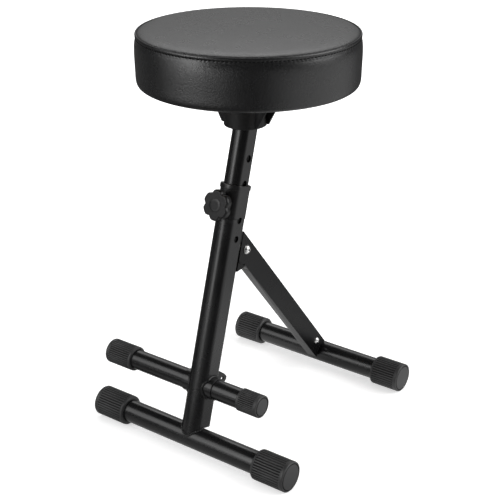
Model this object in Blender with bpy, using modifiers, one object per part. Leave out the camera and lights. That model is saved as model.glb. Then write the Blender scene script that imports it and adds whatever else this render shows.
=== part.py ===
import math
import bpy

# Guitar stool: padded round seat on a keyed telescoping post, one leaning leg on a cross bar,
# a footrest bar through the leg and a hinged rear brace with its own cross bar.
# Metres, +Z up, bars along X, the knob and footrest side faces -Y.

# Driving dimensions
MM = 0.001
FOOT_SPREAD = 313.3 * MM
LEAN = math.radians(16.0)
LEG_OFFSET = 2.3 * MM
BAR_R = 16.0 * MM
BAR_WALL = 1.5 * MM
CAP_R = 21.3 * MM
CAP_FLAT = 0.5 * MM
CAP_LEN = 52.0 * MM
REAR_CAP_LEN = 46.0 * MM
FRONT_HALF = 165.0 * MM
REAR_HALF = 150.4 * MM
LEG_R = 19.1 * MM
LEG_FLAT = 15.4 * MM
LEG_WALL = 1.2 * MM
LEG_TOP = 330.0 * MM
POST_R = 16.4 * MM
POST_FLAT = 13.8 * MM
POST_WALL = 1.5 * MM
POST_BOTTOM = LEG_TOP - 140.0 * MM
POST_TOP = LEG_TOP + 148.0 * MM
HOLE_R = 5.0 * MM
HOLE_PITCH = 34.0 * MM
HOLE_TOP = LEG_TOP + 81.0 * MM
LEG_HOLE_R = 4.6 * MM
LEG_HOLE_UPPER = LEG_TOP - 2.0 * MM
LEG_HOLE_LOWER = LEG_TOP - 27.5 * MM
COLLAR_R = 19.8 * MM
COLLAR_FLAT = 16.4 * MM
COLLAR_LIP_R = 20.8 * MM
COLLAR_LIP_FLAT = 17.3 * MM
TONGUE_LEN = 32.0 * MM
COLLAR_TOP = LEG_TOP + 45.0 * MM
KNOB_Z = LEG_TOP + 16.5 * MM
KNOB_R = 21.0 * MM
KNOB_LOBES = 6
KNOB_TURN = math.radians(28.0)
FOOTREST_Z = 95.3 * MM
FOOTREST_R = 14.0 * MM
FOOTREST_LEFT = -165.0 * MM
FOOTREST_RIGHT = 101.0 * MM
SLEEVE_HALF = 25.0 * MM
PIVOT_BACK = 39.0 * MM
PIVOT_ALONG = LEG_TOP - 45.0 * MM
BRACE_HALF = 8.0 * MM
BRACE_WALL = 1.5 * MM
BRACE_UP = 13.5 * MM
BRACE_DOWN = 16.5 * MM
BRACE_END = 12.0 * MM
SEAT_R = 146.5 * MM
SEAT_ROLL = 7.5 * MM
SEAT_BOTTOM = POST_TOP + 14.7 * MM
SEAT_THICK = 65.6 * MM
SEAT_EDGE = SEAT_BOTTOM + SEAT_THICK
SEAT_CROWN = 8.0 * MM
SEAT_SHIFT = 6.8 * MM
HUB_SHIFT = -1.15 * MM
HUB_R = 28.5 * MM
HUB_DROP = 55.2 * MM
HUB_BOTTOM = SEAT_BOTTOM - HUB_DROP
HUB_PLATE_R = 66.0 * MM
RIB_SIDE = 12.0 * MM
RIB_T = 3.0 * MM
RIB_SLOPE = 0.56
GAP = 0.3 * MM

# Derived places
FRONT_Y = -FOOT_SPREAD / 2
REAR_Y = FOOT_SPREAD / 2
BAR_Z = CAP_R - CAP_FLAT
COS_L, SIN_L = math.cos(LEAN), math.sin(LEAN)
LEG_Y = FRONT_Y - LEG_OFFSET
HUB_Y = LEG_Y + HUB_BOTTOM * math.tan(LEAN) + HUB_SHIFT
SEAT_Y = HUB_Y + SEAT_SHIFT
PIVOT_Y = LEG_Y + PIVOT_BACK * COS_L + PIVOT_ALONG * SIN_L
PIVOT_Z = PIVOT_ALONG * COS_L - PIVOT_BACK * SIN_L
BRACE_TURN = math.atan2(REAR_Y - PIVOT_Y, PIVOT_Z - BAR_Z)
BRACE_LEN = math.hypot(REAR_Y - PIVOT_Y, PIVOT_Z - BAR_Z)
OPEN_ANGLE = LEAN + BRACE_TURN
FRONT_BACK = (FRONT_Y - LEG_Y) * COS_L - BAR_Z * SIN_L
FRONT_ALONG = (FRONT_Y - LEG_Y) * SIN_L + BAR_Z * COS_L

for old in list(bpy.data.objects):
    bpy.data.objects.remove(old, do_unlink=True)
stool = bpy.data.collections.new("guitar_stool")
cutters = bpy.data.collections.new("cutters")
bpy.context.scene.collection.children.link(stool)
bpy.context.scene.collection.children.link(cutters)


def frame(name, place, turn_x):
    """Empty that carries one group of pieces in its own leaning axes."""
    empty = bpy.data.objects.new(name, None)
    empty.location = place
    empty.rotation_euler = (turn_x, 0.0, 0.0)
    stool.objects.link(empty)
    return empty


leg_frame = frame("leg_frame", (0.0, LEG_Y, 0.0), -LEAN)
brace_frame = frame("brace_frame", (0.0, PIVOT_Y, PIVOT_Z), BRACE_TURN)
seat_frame = frame("seat_frame", (0.0, SEAT_Y, 0.0), 0.0)
hub_frame = frame("hub_frame", (0.0, HUB_Y, 0.0), 0.0)
front_frame = frame("front_frame", (0.0, FRONT_Y, BAR_Z), 0.0)
knob_frame = frame("knob_frame", (0.0, 0.0, KNOB_Z), 0.0)
knob_frame.parent = leg_frame
bpy.context.view_layer.update()

PAINTS = {
    "leatherette": ((0.016, 0.016, 0.017, 1.0), 0.0, 0.46),
    "board": ((0.32, 0.22, 0.12, 1.0), 0.0, 0.75),
    "plastic": ((0.02, 0.02, 0.021, 1.0), 0.0, 0.42),
    "paint": ((0.014, 0.014, 0.015, 1.0), 0.0, 0.24),
    "rubber": ((0.022, 0.022, 0.023, 1.0), 0.0, 0.7),
    "zinc": ((0.62, 0.62, 0.6, 1.0), 1.0, 0.28),
}


def painted(obj, kind):
    """Give one object a Principled material of its own."""
    colour, metal, rough = PAINTS[kind]
    mat = bpy.data.materials.new(obj.name + "_" + kind)
    mat.use_nodes = True
    shader = mat.node_tree.nodes["Principled BSDF"]
    shader.inputs["Base Color"].default_value = colour
    shader.inputs["Metallic"].default_value = metal
    shader.inputs["Roughness"].default_value = rough
    obj.data.materials.append(mat)


def piece(name, verts, faces, kind=None, parent=None, edges=()):
    """Mesh object from points and faces; without a paint kind it is a cutter."""
    mesh = bpy.data.meshes.new(name)
    mesh.from_pydata([tuple(v) for v in verts], list(edges), list(faces))
    mesh.update()
    obj = bpy.data.objects.new(name, mesh)
    if kind:
        stool.objects.link(obj)
        painted(obj, kind)
    else:
        cutters.objects.link(obj)
        obj.hide_render = True
        obj.display_type = "WIRE"
    if parent:
        obj.parent = parent
    return obj


def stack(name, layers, kind=None, parent=None):
    """Solid from closed loops of equal length, one above the other, capped at both ends."""
    count = len(layers[0][0])
    verts = [(x, y, z) for loop, z in layers for x, y in loop]
    faces = [tuple(reversed(range(count)))]
    for k in range(len(layers) - 1):
        a, b = k * count, (k + 1) * count
        for i in range(count):
            j = (i + 1) % count
            faces.append((a + i, a + j, b + j, b + i))
    top = (len(layers) - 1) * count
    faces.append(tuple(range(top, top + count)))
    return piece(name, verts, faces, kind, parent)


def pipe(name, outer, inner, low, high, kind=None, parent=None):
    """Tube between two heights from an outer and an inner loop of equal length."""
    n = len(outer)
    loops = ((outer, low), (outer, high), (inner, low), (inner, high))
    verts = [(x, y, z) for loop, z in loops for x, y in loop]
    faces = []
    for i in range(n):
        j = (i + 1) % n
        faces.append((i, j, n + j, n + i))
        faces.append((2 * n + j, 2 * n + i, 3 * n + i, 3 * n + j))
        faces.append((n + i, n + j, 3 * n + j, 3 * n + i))
        faces.append((j, i, 2 * n + i, 2 * n + j))
    return piece(name, verts, faces, kind, parent)


def plate(name, outline, low, high, kind=None, parent=None):
    """Flat plate between X = low and high, outlined in Y and Z counter-clockwise seen from +X."""
    n = len(outline)
    verts = [(low, y, z) for y, z in outline] + [(high, y, z) for y, z in outline]
    faces = [tuple(reversed(range(n))), tuple(range(n, 2 * n))]
    for i in range(n):
        j = (i + 1) % n
        faces.append((i, j, n + j, n + i))
    return piece(name, verts, faces, kind, parent)


def turned(name, profile, steps, kind=None, parent=None, closed=False):
    """Body of revolution about Z from an outer-side-first profile of (radius, height)."""
    verts = [(r, 0.0, z) for r, z in profile]
    edges = [(i, i + 1) for i in range(len(profile) - 1)]
    if closed:
        edges.append((len(profile) - 1, 0))
    obj = piece(name, verts, [], kind, parent, edges)
    screw = obj.modifiers.new("turn", "SCREW")
    screw.axis = "Z"
    screw.steps = steps
    screw.render_steps = steps
    screw.use_merge_vertices = True
    screw.merge_threshold = 0.00001
    return obj


def boolean(obj, tool, how="DIFFERENCE"):
    """Exact boolean of one cutter on one piece."""
    mod = obj.modifiers.new(how.lower() + "_" + tool.name, "BOOLEAN")
    mod.operation = how
    mod.solver = "EXACT"
    mod.object = tool


def ring(radius, count, phase=0.0):
    """Points of a circle, counter-clockwise."""
    turn = 2 * math.pi / count
    return [(radius * math.cos(turn * i + phase), radius * math.sin(turn * i + phase)) for i in range(count)]


def keyed(radius, flat, per_arc=12):
    """Round section pressed flat on both X sides: two arcs joined by the flats."""
    half = math.acos(flat / radius)
    pts = []
    for centre in (math.pi / 2, -math.pi / 2):
        start = centre - (math.pi / 2 - half)
        step = (math.pi - 2 * half) / (per_arc - 1)
        turns = [start + step * i for i in range(per_arc)]
        pts += [(radius * math.cos(a), radius * math.sin(a)) for a in turns]
    return pts


def rod(name, radius, low, high, place, parent, kind=None, count=32, along="X"):
    """Plain cylinder along X, Y or Z of its parent."""
    obj = stack(name, [(ring(radius, count), low), (ring(radius, count), high)], kind, parent)
    obj.location = place
    turns = {"X": (0.0, math.pi / 2, 0.0), "Y": (-math.pi / 2, 0.0, 0.0), "Z": (0.0, 0.0, 0.0)}
    obj.rotation_euler = turns[along]
    return obj


# Seat: padded cover with a crowned top, a rolled stitched edge and a recess for the board
edge = SEAT_EDGE
low = SEAT_BOTTOM
top_r = SEAT_R - 5.5 * MM
crown = [(top_r * f, edge + SEAT_CROWN * (1 - f ** 2)) for f in (0.0, 0.25, 0.5, 0.71, 0.865, 0.957)]
BOARD_R = SEAT_R - 15.0 * MM
BOARD_T = 8.7 * MM
cushion_profile = crown + [
    (top_r, edge - 0.6 * MM),
    (SEAT_R - 3.2 * MM, edge + 0.2 * MM),
    (SEAT_R - 1.2 * MM, edge - 1.9 * MM),
    (SEAT_R - 1.4 * MM, edge - 5.4 * MM),
    (SEAT_R, edge - 9.0 * MM),
    (SEAT_R, edge - 15.0 * MM),
    (SEAT_R - 0.8 * MM, low + 30.0 * MM),
    (SEAT_R - 0.5 * MM, low + 9.0 * MM),
    (SEAT_R - 1.6 * MM, low + 3.6 * MM),
    (SEAT_R - 4.2 * MM, low + 0.9 * MM),
    (SEAT_R - SEAT_ROLL, low),
    (BOARD_R + GAP, low),
    (BOARD_R + GAP, low + BOARD_T + 2 * GAP),
    (0.0, low + BOARD_T + 2 * GAP),
]
cushion = turned("seat_cushion", cushion_profile, 48, "leatherette", seat_frame)

board = turned("seat_board", [(0.0, low + GAP + BOARD_T), (BOARD_R - 1 * MM, low + GAP + BOARD_T),
                              (BOARD_R, low + GAP + BOARD_T - 1 * MM), (BOARD_R, low + GAP + 1 * MM),
                              (BOARD_R - 1 * MM, low + GAP), (0.0, low + GAP)], 48, "board", seat_frame)

# Hub: moulded plate and barrel, two pairs of gusset ribs and a leaning keyed socket for the post
PLATE_T = 4.2 * MM
plate_low = low - PLATE_T
hub = turned("seat_hub", [(0.0, low), (HUB_PLATE_R, low), (HUB_PLATE_R, plate_low + 0.8 * MM),
                          (HUB_PLATE_R - 0.8 * MM, plate_low), (HUB_R + 3.0 * MM, plate_low),
                          (HUB_R + 0.9 * MM, plate_low - 2.5 * MM), (HUB_R, HUB_BOTTOM + 1.2 * MM),
                          (HUB_R - 1.2 * MM, HUB_BOTTOM), (0.0, HUB_BOTTOM)], 40, "plastic", hub_frame)
rib_low = HUB_BOTTOM + 2.0 * MM
rib_foot = HUB_R + 0.6 * MM
rib_head = rib_foot + RIB_SLOPE * (plate_low - 3.0 * MM - rib_low)
rib_root = HUB_R - 8.0 * MM
rib_outline = [(rib_root, rib_low), (rib_foot, rib_low), (rib_head, plate_low - 3.0 * MM),
               (rib_head, plate_low + 1.5 * MM), (rib_root, plate_low + 1.5 * MM)]
SCREW_RING = 50.0 * MM
SCREW_R = 2.0 * MM
rib_sides = [(turn, side) for turn in (-1, 1) for side in (-1, 1)]
for k, (turn, side) in enumerate(rib_sides):
    middle = side * RIB_SIDE
    rib = plate("hub_rib_%d_tool" % (k + 1), rib_outline, middle - RIB_T / 2, middle + RIB_T / 2, None, hub_frame)
    rib.rotation_euler = (0.0, 0.0, turn * math.pi / 2)
    boolean(hub, rib, "UNION")
socket = stack("hub_socket_tool", [(keyed(POST_R + GAP, POST_FLAT + GAP), POST_TOP - 80 * MM),
                                   (keyed(POST_R + GAP, POST_FLAT + GAP), POST_TOP + GAP)], None, leg_frame)
boolean(hub, socket)
for k in range(4):
    angle = math.pi / 4 + k * math.pi / 2
    spot = (SCREW_RING * math.cos(angle), SCREW_RING * math.sin(angle), 0.0)
    hole = rod("hub_hole_%d_tool" % (k + 1), SCREW_R + GAP, plate_low - 5 * MM, low + 7.5 * MM, spot,
               hub_frame, count=20, along="Z")
    boolean(hub, hole)
    boolean(board, hole)
    screw_profile = [(0.0, low + 7.0 * MM), (SCREW_R, low + 7.0 * MM), (SCREW_R, plate_low - GAP),
                     (4.2 * MM, plate_low - GAP), (4.2 * MM, plate_low - 1.2 * MM),
                     (3.0 * MM, plate_low - 2.4 * MM), (0.0, plate_low - 2.7 * MM)]
    screw = turned("hub_screw_%d" % (k + 1), screw_profile, 16, "zinc", hub_frame)
    screw.location = spot

# Post: keyed inner tube with a row of index holes and a bottom plug
post = pipe("post_tube", keyed(POST_R, POST_FLAT), keyed(POST_R - POST_WALL, POST_FLAT - POST_WALL),
            POST_BOTTOM, POST_TOP, "paint", leg_frame)
HOLE_MARGIN = 25.0 * MM
DRILL = 30.0 * MM
k = 0
while HOLE_TOP - k * HOLE_PITCH > POST_BOTTOM + HOLE_MARGIN:
    tool = rod("post_hole_%d_tool" % (k + 1), HOLE_R, -DRILL, DRILL,
               (0.0, 0.0, HOLE_TOP - k * HOLE_PITCH), leg_frame, count=20)
    boolean(post, tool)
    k += 1
plug_r = POST_R - POST_WALL - GAP
plug_f = POST_FLAT - POST_WALL - GAP
stack("post_plug", [(keyed(POST_R - 1.0 * MM, POST_FLAT - 1.0 * MM), POST_BOTTOM - 4.0 * MM),
                    (keyed(POST_R - 0.2 * MM, POST_FLAT - 0.2 * MM), POST_BOTTOM - 3.0 * MM),
                    (keyed(POST_R - 0.2 * MM, POST_FLAT - 0.2 * MM), POST_BOTTOM - GAP),
                    (keyed(plug_r, plug_f), POST_BOTTOM - GAP + 0.05 * MM),
                    (keyed(plug_r, plug_f), POST_BOTTOM + 12 * MM)], "plastic", leg_frame)

# Leg: keyed outer tube, coped over the front bar and bored for the footrest sleeve
leg = pipe("leg_tube", keyed(LEG_R, LEG_FLAT), keyed(LEG_R - LEG_WALL, LEG_FLAT - LEG_WALL),
           FRONT_ALONG + 1.0 * MM, LEG_TOP, "paint", leg_frame)
cope = rod("leg_cope_tool", BAR_R + GAP, -40 * MM, 40 * MM, (0.0, FRONT_BACK, FRONT_ALONG), leg_frame,
           count=48)
boolean(leg, cope)
heel_top = FRONT_ALONG + BAR_R + 2 * GAP
heel_front = FRONT_BACK + 2 * MM
heel_low = FRONT_ALONG - 20 * MM
heel = plate("leg_heel_tool", [(heel_front, heel_low), (40 * MM, heel_low), (40 * MM, heel_top),
                               (heel_front, heel_top)], -40 * MM, 40 * MM, None, leg_frame)
boolean(leg, heel)
SLEEVE_R = FOOTREST_R + 1.5 * MM
bore = rod("leg_bore_tool", SLEEVE_R + GAP, -40 * MM, 40 * MM, (0.0, 0.0, FOOTREST_Z), leg_frame, count=40)
boolean(leg, bore)
leg_holes = [rod("leg_hole_%d_tool" % (k + 1), LEG_HOLE_R, -DRILL, DRILL, (0.0, 0.0, z), leg_frame, count=20)
             for k, z in enumerate((LEG_HOLE_UPPER, LEG_HOLE_LOWER))]
for tool in leg_holes:
    boolean(leg, tool)

# Collar: moulded keyed guide bush with a lip, two guide tongues inside the leg and a boss for the clamp screw
collar_low = LEG_TOP + GAP
lip_low = COLLAR_TOP - 6.5 * MM


def collar_loop(cut, lip):
    """Keyed collar section, or its lip, drawn in by one cut all round."""
    if lip:
        return keyed(COLLAR_LIP_R - cut, COLLAR_LIP_FLAT - cut, 18)
    return keyed(COLLAR_R - cut, COLLAR_FLAT - cut, 18)


collar = stack("collar_bush", [(collar_loop(0.6 * MM, False), collar_low),
                               (collar_loop(0.0, False), collar_low + 0.6 * MM),
                               (collar_loop(0.0, False), lip_low - 0.4 * MM),
                               (collar_loop(0.6 * MM, True), lip_low),
                               (collar_loop(0.0, True), lip_low + 0.6 * MM),
                               (collar_loop(0.0, True), COLLAR_TOP - 1.2 * MM),
                               (collar_loop(1.2 * MM, True), COLLAR_TOP)], "plastic", leg_frame)
guide = keyed(LEG_R - LEG_WALL - GAP, LEG_FLAT - LEG_WALL - GAP)
tongue = stack("collar_tongue_tool", [(guide, LEG_TOP - TONGUE_LEN), (guide, LEG_TOP + 4 * MM)], None,
               leg_frame)
boolean(collar, tongue, "UNION")
BOSS_END = -26.5 * MM
boss = rod("collar_boss_tool", 9.0 * MM, BOSS_END, -POST_R, (0.0, 0.0, 0.0), knob_frame, count=32,
           along="Y")
boolean(collar, boss, "UNION")
bore_loop = keyed(POST_R + GAP, POST_FLAT + GAP)
slot = stack("collar_bore_tool", [(bore_loop, LEG_TOP - 60 * MM), (bore_loop, COLLAR_TOP + 20 * MM)], None,
             leg_frame)
boolean(collar, slot)
boolean(collar, leg_holes[0])
INSERT_R = 6.2 * MM
pocket = rod("insert_pocket_tool", INSERT_R + GAP, -60 * MM, -POST_R + 2 * MM, (0.0, 0.0, 0.0), knob_frame,
             count=28, along="Y")
boolean(collar, pocket)
STUD_R = 4.0 * MM
insert = pipe("clamp_insert", ring(INSERT_R, 28), ring(STUD_R + GAP, 28), BOSS_END + 0.2 * MM,
              -POST_R - 1.0 * MM, "zinc", knob_frame)
insert.rotation_euler = (-math.pi / 2, 0.0, 0.0)

# Clamp screw: stud, lobed hand knob and its raised centre cap; the knob axis runs along Y of the leg frame
KNOB_FACE = -39.2 * MM
KNOB_BACK = -28.2 * MM
stud = rod("knob_stud", STUD_R, -36.5 * MM, -POST_R - 0.35 * MM, (0.0, 0.0, 0.0), knob_frame, "zinc", 24,
           "Y")


def lobes(radius, depth, count=72):
    """Knob outline: a circle with a narrow rounded notch between one broad lobe and the next."""
    pts = []
    for i in range(count):
        a = 2 * math.pi * i / count
        r = radius - depth * (0.5 - 0.5 * math.cos(KNOB_LOBES * (a - KNOB_TURN))) ** 3
        pts.append((r * math.cos(a), r * math.sin(a)))
    return pts


knob = stack("knob_head", [(lobes(KNOB_R - 2.6 * MM, 2.4 * MM), KNOB_FACE),
                           (lobes(KNOB_R - 0.8 * MM, 3.0 * MM), KNOB_FACE + 0.8 * MM),
                           (lobes(KNOB_R, 3.2 * MM), KNOB_FACE + 2.4 * MM),
                           (lobes(KNOB_R, 3.2 * MM), KNOB_BACK - 3.0 * MM),
                           (lobes(KNOB_R - 2.0 * MM, 2.8 * MM), KNOB_BACK - 1.0 * MM),
                           (lobes(KNOB_R - 8.0 * MM, 0.6 * MM), KNOB_BACK)], "plastic", knob_frame)
knob.rotation_euler = (-math.pi / 2, 0.0, 0.0)
stud_hole = rod("knob_hole_tool", STUD_R + GAP, -36.8 * MM, 0.0, (0.0, 0.0, 0.0), knob_frame, count=24,
                along="Y")
boolean(knob, stud_hole)
cap = turned("knob_cap", [(0.0, 1.4 * MM), (8.0 * MM, 1.4 * MM), (8.8 * MM, 0.9 * MM), (9.0 * MM, 0.4 * MM),
                          (9.0 * MM, 0.0), (0.0, 0.0)], 32, "plastic", knob_frame)
cap.location = (0.0, KNOB_FACE - GAP, 0.0)
cap.rotation_euler = (math.pi / 2, 0.0, 0.0)


def cross_bar(name, radius, left, right, parent, place):
    """Round tube along X of its parent."""
    obj = pipe(name, ring(radius, 48), ring(radius - BAR_WALL, 48), left, right, "paint", parent)
    obj.rotation_euler = (0.0, math.pi / 2, 0.0)
    obj.location = place
    return obj


def end_cap(name, outer, bar, length, end, side, parent, place):
    """Rubber cup over a bar end: rim, grip, ring, groove and a round-edged end face."""
    wall_end = 9.0 * MM
    prof = [(0.0, 0.0), (outer - 3.4 * MM, 0.0), (outer - 2.0 * MM, -0.5 * MM),
            (outer - 1.2 * MM, -1.9 * MM), (outer - 1.2 * MM, -3.6 * MM), (outer - 1.9 * MM, -4.3 * MM),
            (outer - 0.7 * MM, -5.2 * MM), (outer, -6.4 * MM), (outer, -length + 1.4 * MM),
            (outer - 1.2 * MM, -length), (bar + GAP, -length), (bar + GAP, -wall_end), (0.0, -wall_end)]
    obj = turned(name, prof, 36, "rubber", parent)
    obj.location = (place[0] + end, place[1], place[2])
    obj.rotation_euler = (0.0, side * math.pi / 2, 0.0)
    return obj


# Front cross bar with its rubber feet, each with a narrow flat to stand on
floor_tool = plate("floor_tool", [(-0.6, -0.1), (0.6, -0.1), (0.6, 0.0), (-0.6, 0.0)], -0.6, 0.6)
inset = 9.0 * MM + GAP
cross_bar("front_bar", BAR_R, -FRONT_HALF + inset, FRONT_HALF - inset, front_frame, (0.0, 0.0, 0.0))
for tag, side in (("left", -1), ("right", 1)):
    foot = end_cap("front_cap_" + tag, CAP_R, BAR_R, CAP_LEN, side * FRONT_HALF, side, front_frame,
                   (0.0, 0.0, 0.0))
    boolean(foot, floor_tool)

# Footrest: sleeve through the leg, bar through the sleeve, a long grip left and a slim cap right
spot = (0.0, 0.0, FOOTREST_Z)
sleeve = pipe("footrest_sleeve", ring(SLEEVE_R, 40), ring(FOOTREST_R + GAP, 40), -SLEEVE_HALF, SLEEVE_HALF,
              "paint", leg_frame)
sleeve.rotation_euler = (0.0, math.pi / 2, 0.0)
sleeve.location = spot
cross_bar("footrest_bar", FOOTREST_R, FOOTREST_LEFT + inset, FOOTREST_RIGHT - inset, leg_frame, spot)
end_cap("footrest_cap_left", FOOTREST_R + 3.6 * MM, FOOTREST_R, REAR_CAP_LEN, FOOTREST_LEFT, -1, leg_frame,
        spot)
end_cap("footrest_cap_right", FOOTREST_R + 1.7 * MM, FOOTREST_R, 34.0 * MM, FOOTREST_RIGHT, 1, leg_frame,
        spot)

# Hinge bracket on the back of the leg and the eye tab that stops the folded brace
PIN_R = 4.0 * MM
back_r = LEG_R + GAP
leg_core = rod("leg_core_tool", back_r, -60 * MM, LEG_TOP, (0.0, 0.0, 0.0), leg_frame, count=64, along="Z")
bracket_half = BRACE_HALF - BRACE_WALL - GAP
pb, pa = PIVOT_BACK, PIVOT_ALONG
reach = pb - LEG_R
nose_r = 0.465 * reach
turns = [math.radians(d) for d in range(-60, 91, 15)]
nose = [(pb + nose_r * math.cos(t), pa + nose_r * math.sin(t)) for t in turns]
seat_in = LEG_R - 5.0 * MM
bracket = plate("hinge_bracket", [(seat_in, pa - 1.85 * reach), (pb + 0.236 * reach, pa - 1.276 * reach)] + nose
                + [(back_r + 0.27 * reach, pa + 1.06 * reach), (seat_in, pa + 1.15 * reach)],
                -bracket_half, bracket_half, "paint", leg_frame)
boolean(bracket, leg_core)
block_y = back_r + 0.41 * reach
slot_z = (pa - 3 * reach, pa + 3 * reach)
stem_half = 0.176 * reach
for tag, side in (("left", -1), ("right", 1)):
    span = sorted((side * stem_half, side * 2 * BRACE_HALF))
    flank = plate("bracket_flank_%s_tool" % tag, [(0.0, slot_z[0]), (block_y, slot_z[0]), (block_y, slot_z[1]),
                                                  (0.0, slot_z[1])], span[0], span[1], None, leg_frame)
    boolean(bracket, flank)
slot_y = (back_r + 0.58 * reach, pb + 2 * reach)
slot_half = bracket_half - 2 * MM
mouth = plate("bracket_slot_tool", [(slot_y[0], slot_z[0]), (slot_y[1], slot_z[0]), (slot_y[1], slot_z[1]),
                                    (slot_y[0], slot_z[1])], -slot_half, slot_half, None, leg_frame)
boolean(bracket, mouth)
pivot_hole = rod("pivot_hole_tool", PIN_R + GAP, -40 * MM, 40 * MM, (0.0, 0.0, 0.0), brace_frame,
                 count=28)
boolean(bracket, pivot_hole)
tz = FOOTREST_Z
tab = plate("eye_tab", [(seat_in, tz - 9 * MM), (42 * MM, tz - 7.5 * MM), (49 * MM, tz - 4 * MM),
                        (52.5 * MM, tz + 1 * MM), (52 * MM, tz + 5 * MM), (46 * MM, tz + 9 * MM),
                        (30 * MM, tz + 16 * MM), (seat_in, tz + 17 * MM)], -1.6 * MM, 1.6 * MM, "paint",
            leg_frame)
boolean(tab, leg_core)
eye = rod("eye_hole_tool", 3.2 * MM, -10 * MM, 10 * MM, (0.0, 42.5 * MM, tz + 2.2 * MM), leg_frame, count=20)
boolean(tab, eye)

# Rear brace: folded channel, open behind, cut to the leg at the top and coped over the rear bar
co, so = math.cos(OPEN_ANGLE), math.sin(OPEN_ANGLE)


def in_brace(back, along):
    """Leg-frame offsets from the pivot turned into brace-frame Y and Z."""
    return (back * co + along * so, along * co - back * so)


swing = 20.5 * MM
front_edge = -(PIVOT_BACK - 25.4 * MM)
rise = (BRACE_UP - front_edge * co) / so
corner = in_brace(front_edge, rise)
low_back = in_brace(front_edge, -math.sqrt(swing ** 2 - front_edge ** 2))
a0 = math.atan2(low_back[1], low_back[0]) % (2 * math.pi)
a1 = math.pi + math.acos(BRACE_DOWN / swing)
sweep = [a0 + (a1 - a0) * i / 8 for i in range(9)]
arc = [(swing * math.cos(a), swing * math.sin(a)) for a in sweep]
brace_foot = -BRACE_LEN + BRACE_END
brace = plate("brace_channel", [corner] + arc + [(-BRACE_DOWN, brace_foot), (BRACE_UP, brace_foot)],
              -BRACE_HALF, BRACE_HALF, "paint", brace_frame)
inner = BRACE_HALF - BRACE_WALL
web_in = -BRACE_DOWN + BRACE_WALL
far = -BRACE_LEN - 40 * MM
hollow = plate("brace_hollow_tool", [(web_in, far), (60 * MM, far), (60 * MM, 80 * MM), (web_in, 80 * MM)],
               -inner, inner, None, brace_frame)
boolean(brace, hollow)
WEB_START = 31.0 * MM
throat = plate("brace_throat_tool", [(-60 * MM, -WEB_START), (0.0, -WEB_START), (0.0, 80 * MM),
                                     (-60 * MM, 80 * MM)], -inner, inner, None, brace_frame)
boolean(brace, throat)
boolean(brace, pivot_hole)
saddle = rod("brace_cope_tool", BAR_R + GAP, -60 * MM, 60 * MM, (0.0, 0.0, -BRACE_LEN), brace_frame, count=48)
boolean(brace, saddle)
BOLT_UP = 35.0 * MM
BOLT_SIDE = 1.8 * MM
BOLT_R = 3.0 * MM
bolt_z = -BRACE_LEN + BOLT_UP
bolt_hole = rod("foot_bolt_hole_tool", BOLT_R + GAP, -40 * MM, 40 * MM, (0.0, BOLT_SIDE, bolt_z), brace_frame,
                count=24)
boolean(brace, bolt_hole)

# Pivot pin of the brace: domed bolt, washers, spacer tube and nut
head_x = BRACE_HALF + GAP


def bolt(name, pin, head, dome, reach, place, parent):
    """Domed bolt along X: head on the +X side, plain shank towards -X."""
    start = place[0]
    prof = [(0.0, start + dome), (head * 0.45, start + dome * 0.88), (head * 0.8, start + dome * 0.58),
            (head, start + dome * 0.18), (head, start), (pin, start), (pin, reach), (0.0, reach)]
    obj = turned(name, prof, 28, "zinc", parent)
    obj.rotation_euler = (0.0, math.pi / 2, 0.0)
    obj.location = (0.0, place[1], place[2])
    return obj


def nut(name, pin, across, low_x, high_x, place, parent):
    """Hexagon nut along X."""
    hexagon = ring(across / math.sqrt(3.0), 6)
    obj = stack(name, [(hexagon, low_x), (hexagon, high_x)], "zinc", parent)
    obj.rotation_euler = (0.0, math.pi / 2, 0.0)
    obj.location = place
    tool = rod(name + "_hole_tool", pin + GAP, low_x - 5 * MM, high_x + 5 * MM, place, parent, count=24)
    boolean(obj, tool)
    return obj


WASHER = 0.8 * MM
WASHER_R = 6.4 * MM
pivot = (0.0, 0.0, 0.0)
for tag, lo in (("right", head_x), ("left", -head_x - WASHER)):
    washer = pipe("pivot_washer_" + tag, ring(WASHER_R, 32), ring(PIN_R + GAP, 32), lo, lo + WASHER, "zinc",
                  brace_frame)
    washer.rotation_euler = (0.0, math.pi / 2, 0.0)
bolt("pivot_bolt", PIN_R, 6.0 * MM, 3.2 * MM, -18.0 * MM, (head_x + WASHER + GAP, 0.0, 0.0), brace_frame)
nut_x = -head_x - WASHER - GAP
nut("pivot_nut", PIN_R, 12.5 * MM, nut_x - 6.0 * MM, nut_x, pivot, brace_frame)
spacer_half = bracket_half - 2 * MM - GAP
spacer = pipe("pivot_spacer", ring(6.0 * MM, 28), ring(PIN_R + GAP, 28), -spacer_half, spacer_half, "zinc",
              brace_frame)
spacer.rotation_euler = (0.0, math.pi / 2, 0.0)

# Rear cross bar, square stub inside the channel, its through bolt and the rear rubber feet
rear = (0.0, 0.0, -BRACE_LEN)
cross_bar("rear_bar", BAR_R, -REAR_HALF + inset, REAR_HALF - inset, brace_frame, rear)
stub_half = inner - 0.4 * MM
stub_low = -BRACE_DOWN + BRACE_WALL + 0.4 * MM
square = [(-stub_half, stub_low), (stub_half, stub_low), (stub_half, 9.5 * MM), (-stub_half, 9.5 * MM)]
core = [(-stub_half + 1.6 * MM, stub_low + 1.6 * MM), (stub_half - 1.6 * MM, stub_low + 1.6 * MM),
        (stub_half - 1.6 * MM, 7.9 * MM), (-stub_half + 1.6 * MM, 7.9 * MM)]
stub = pipe("rear_stub", square, core, -BRACE_LEN + 2 * MM, bolt_z + 14 * MM, "paint", brace_frame)
boolean(stub, saddle)
boolean(stub, bolt_hole)
bolt("foot_bolt", BOLT_R, 5.2 * MM, 3.4 * MM, -13.5 * MM, (head_x, BOLT_SIDE, bolt_z), brace_frame)
nut("foot_nut", BOLT_R, 10.0 * MM, -head_x - 4.5 * MM, -head_x, (0.0, BOLT_SIDE, bolt_z),
    brace_frame)
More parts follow.
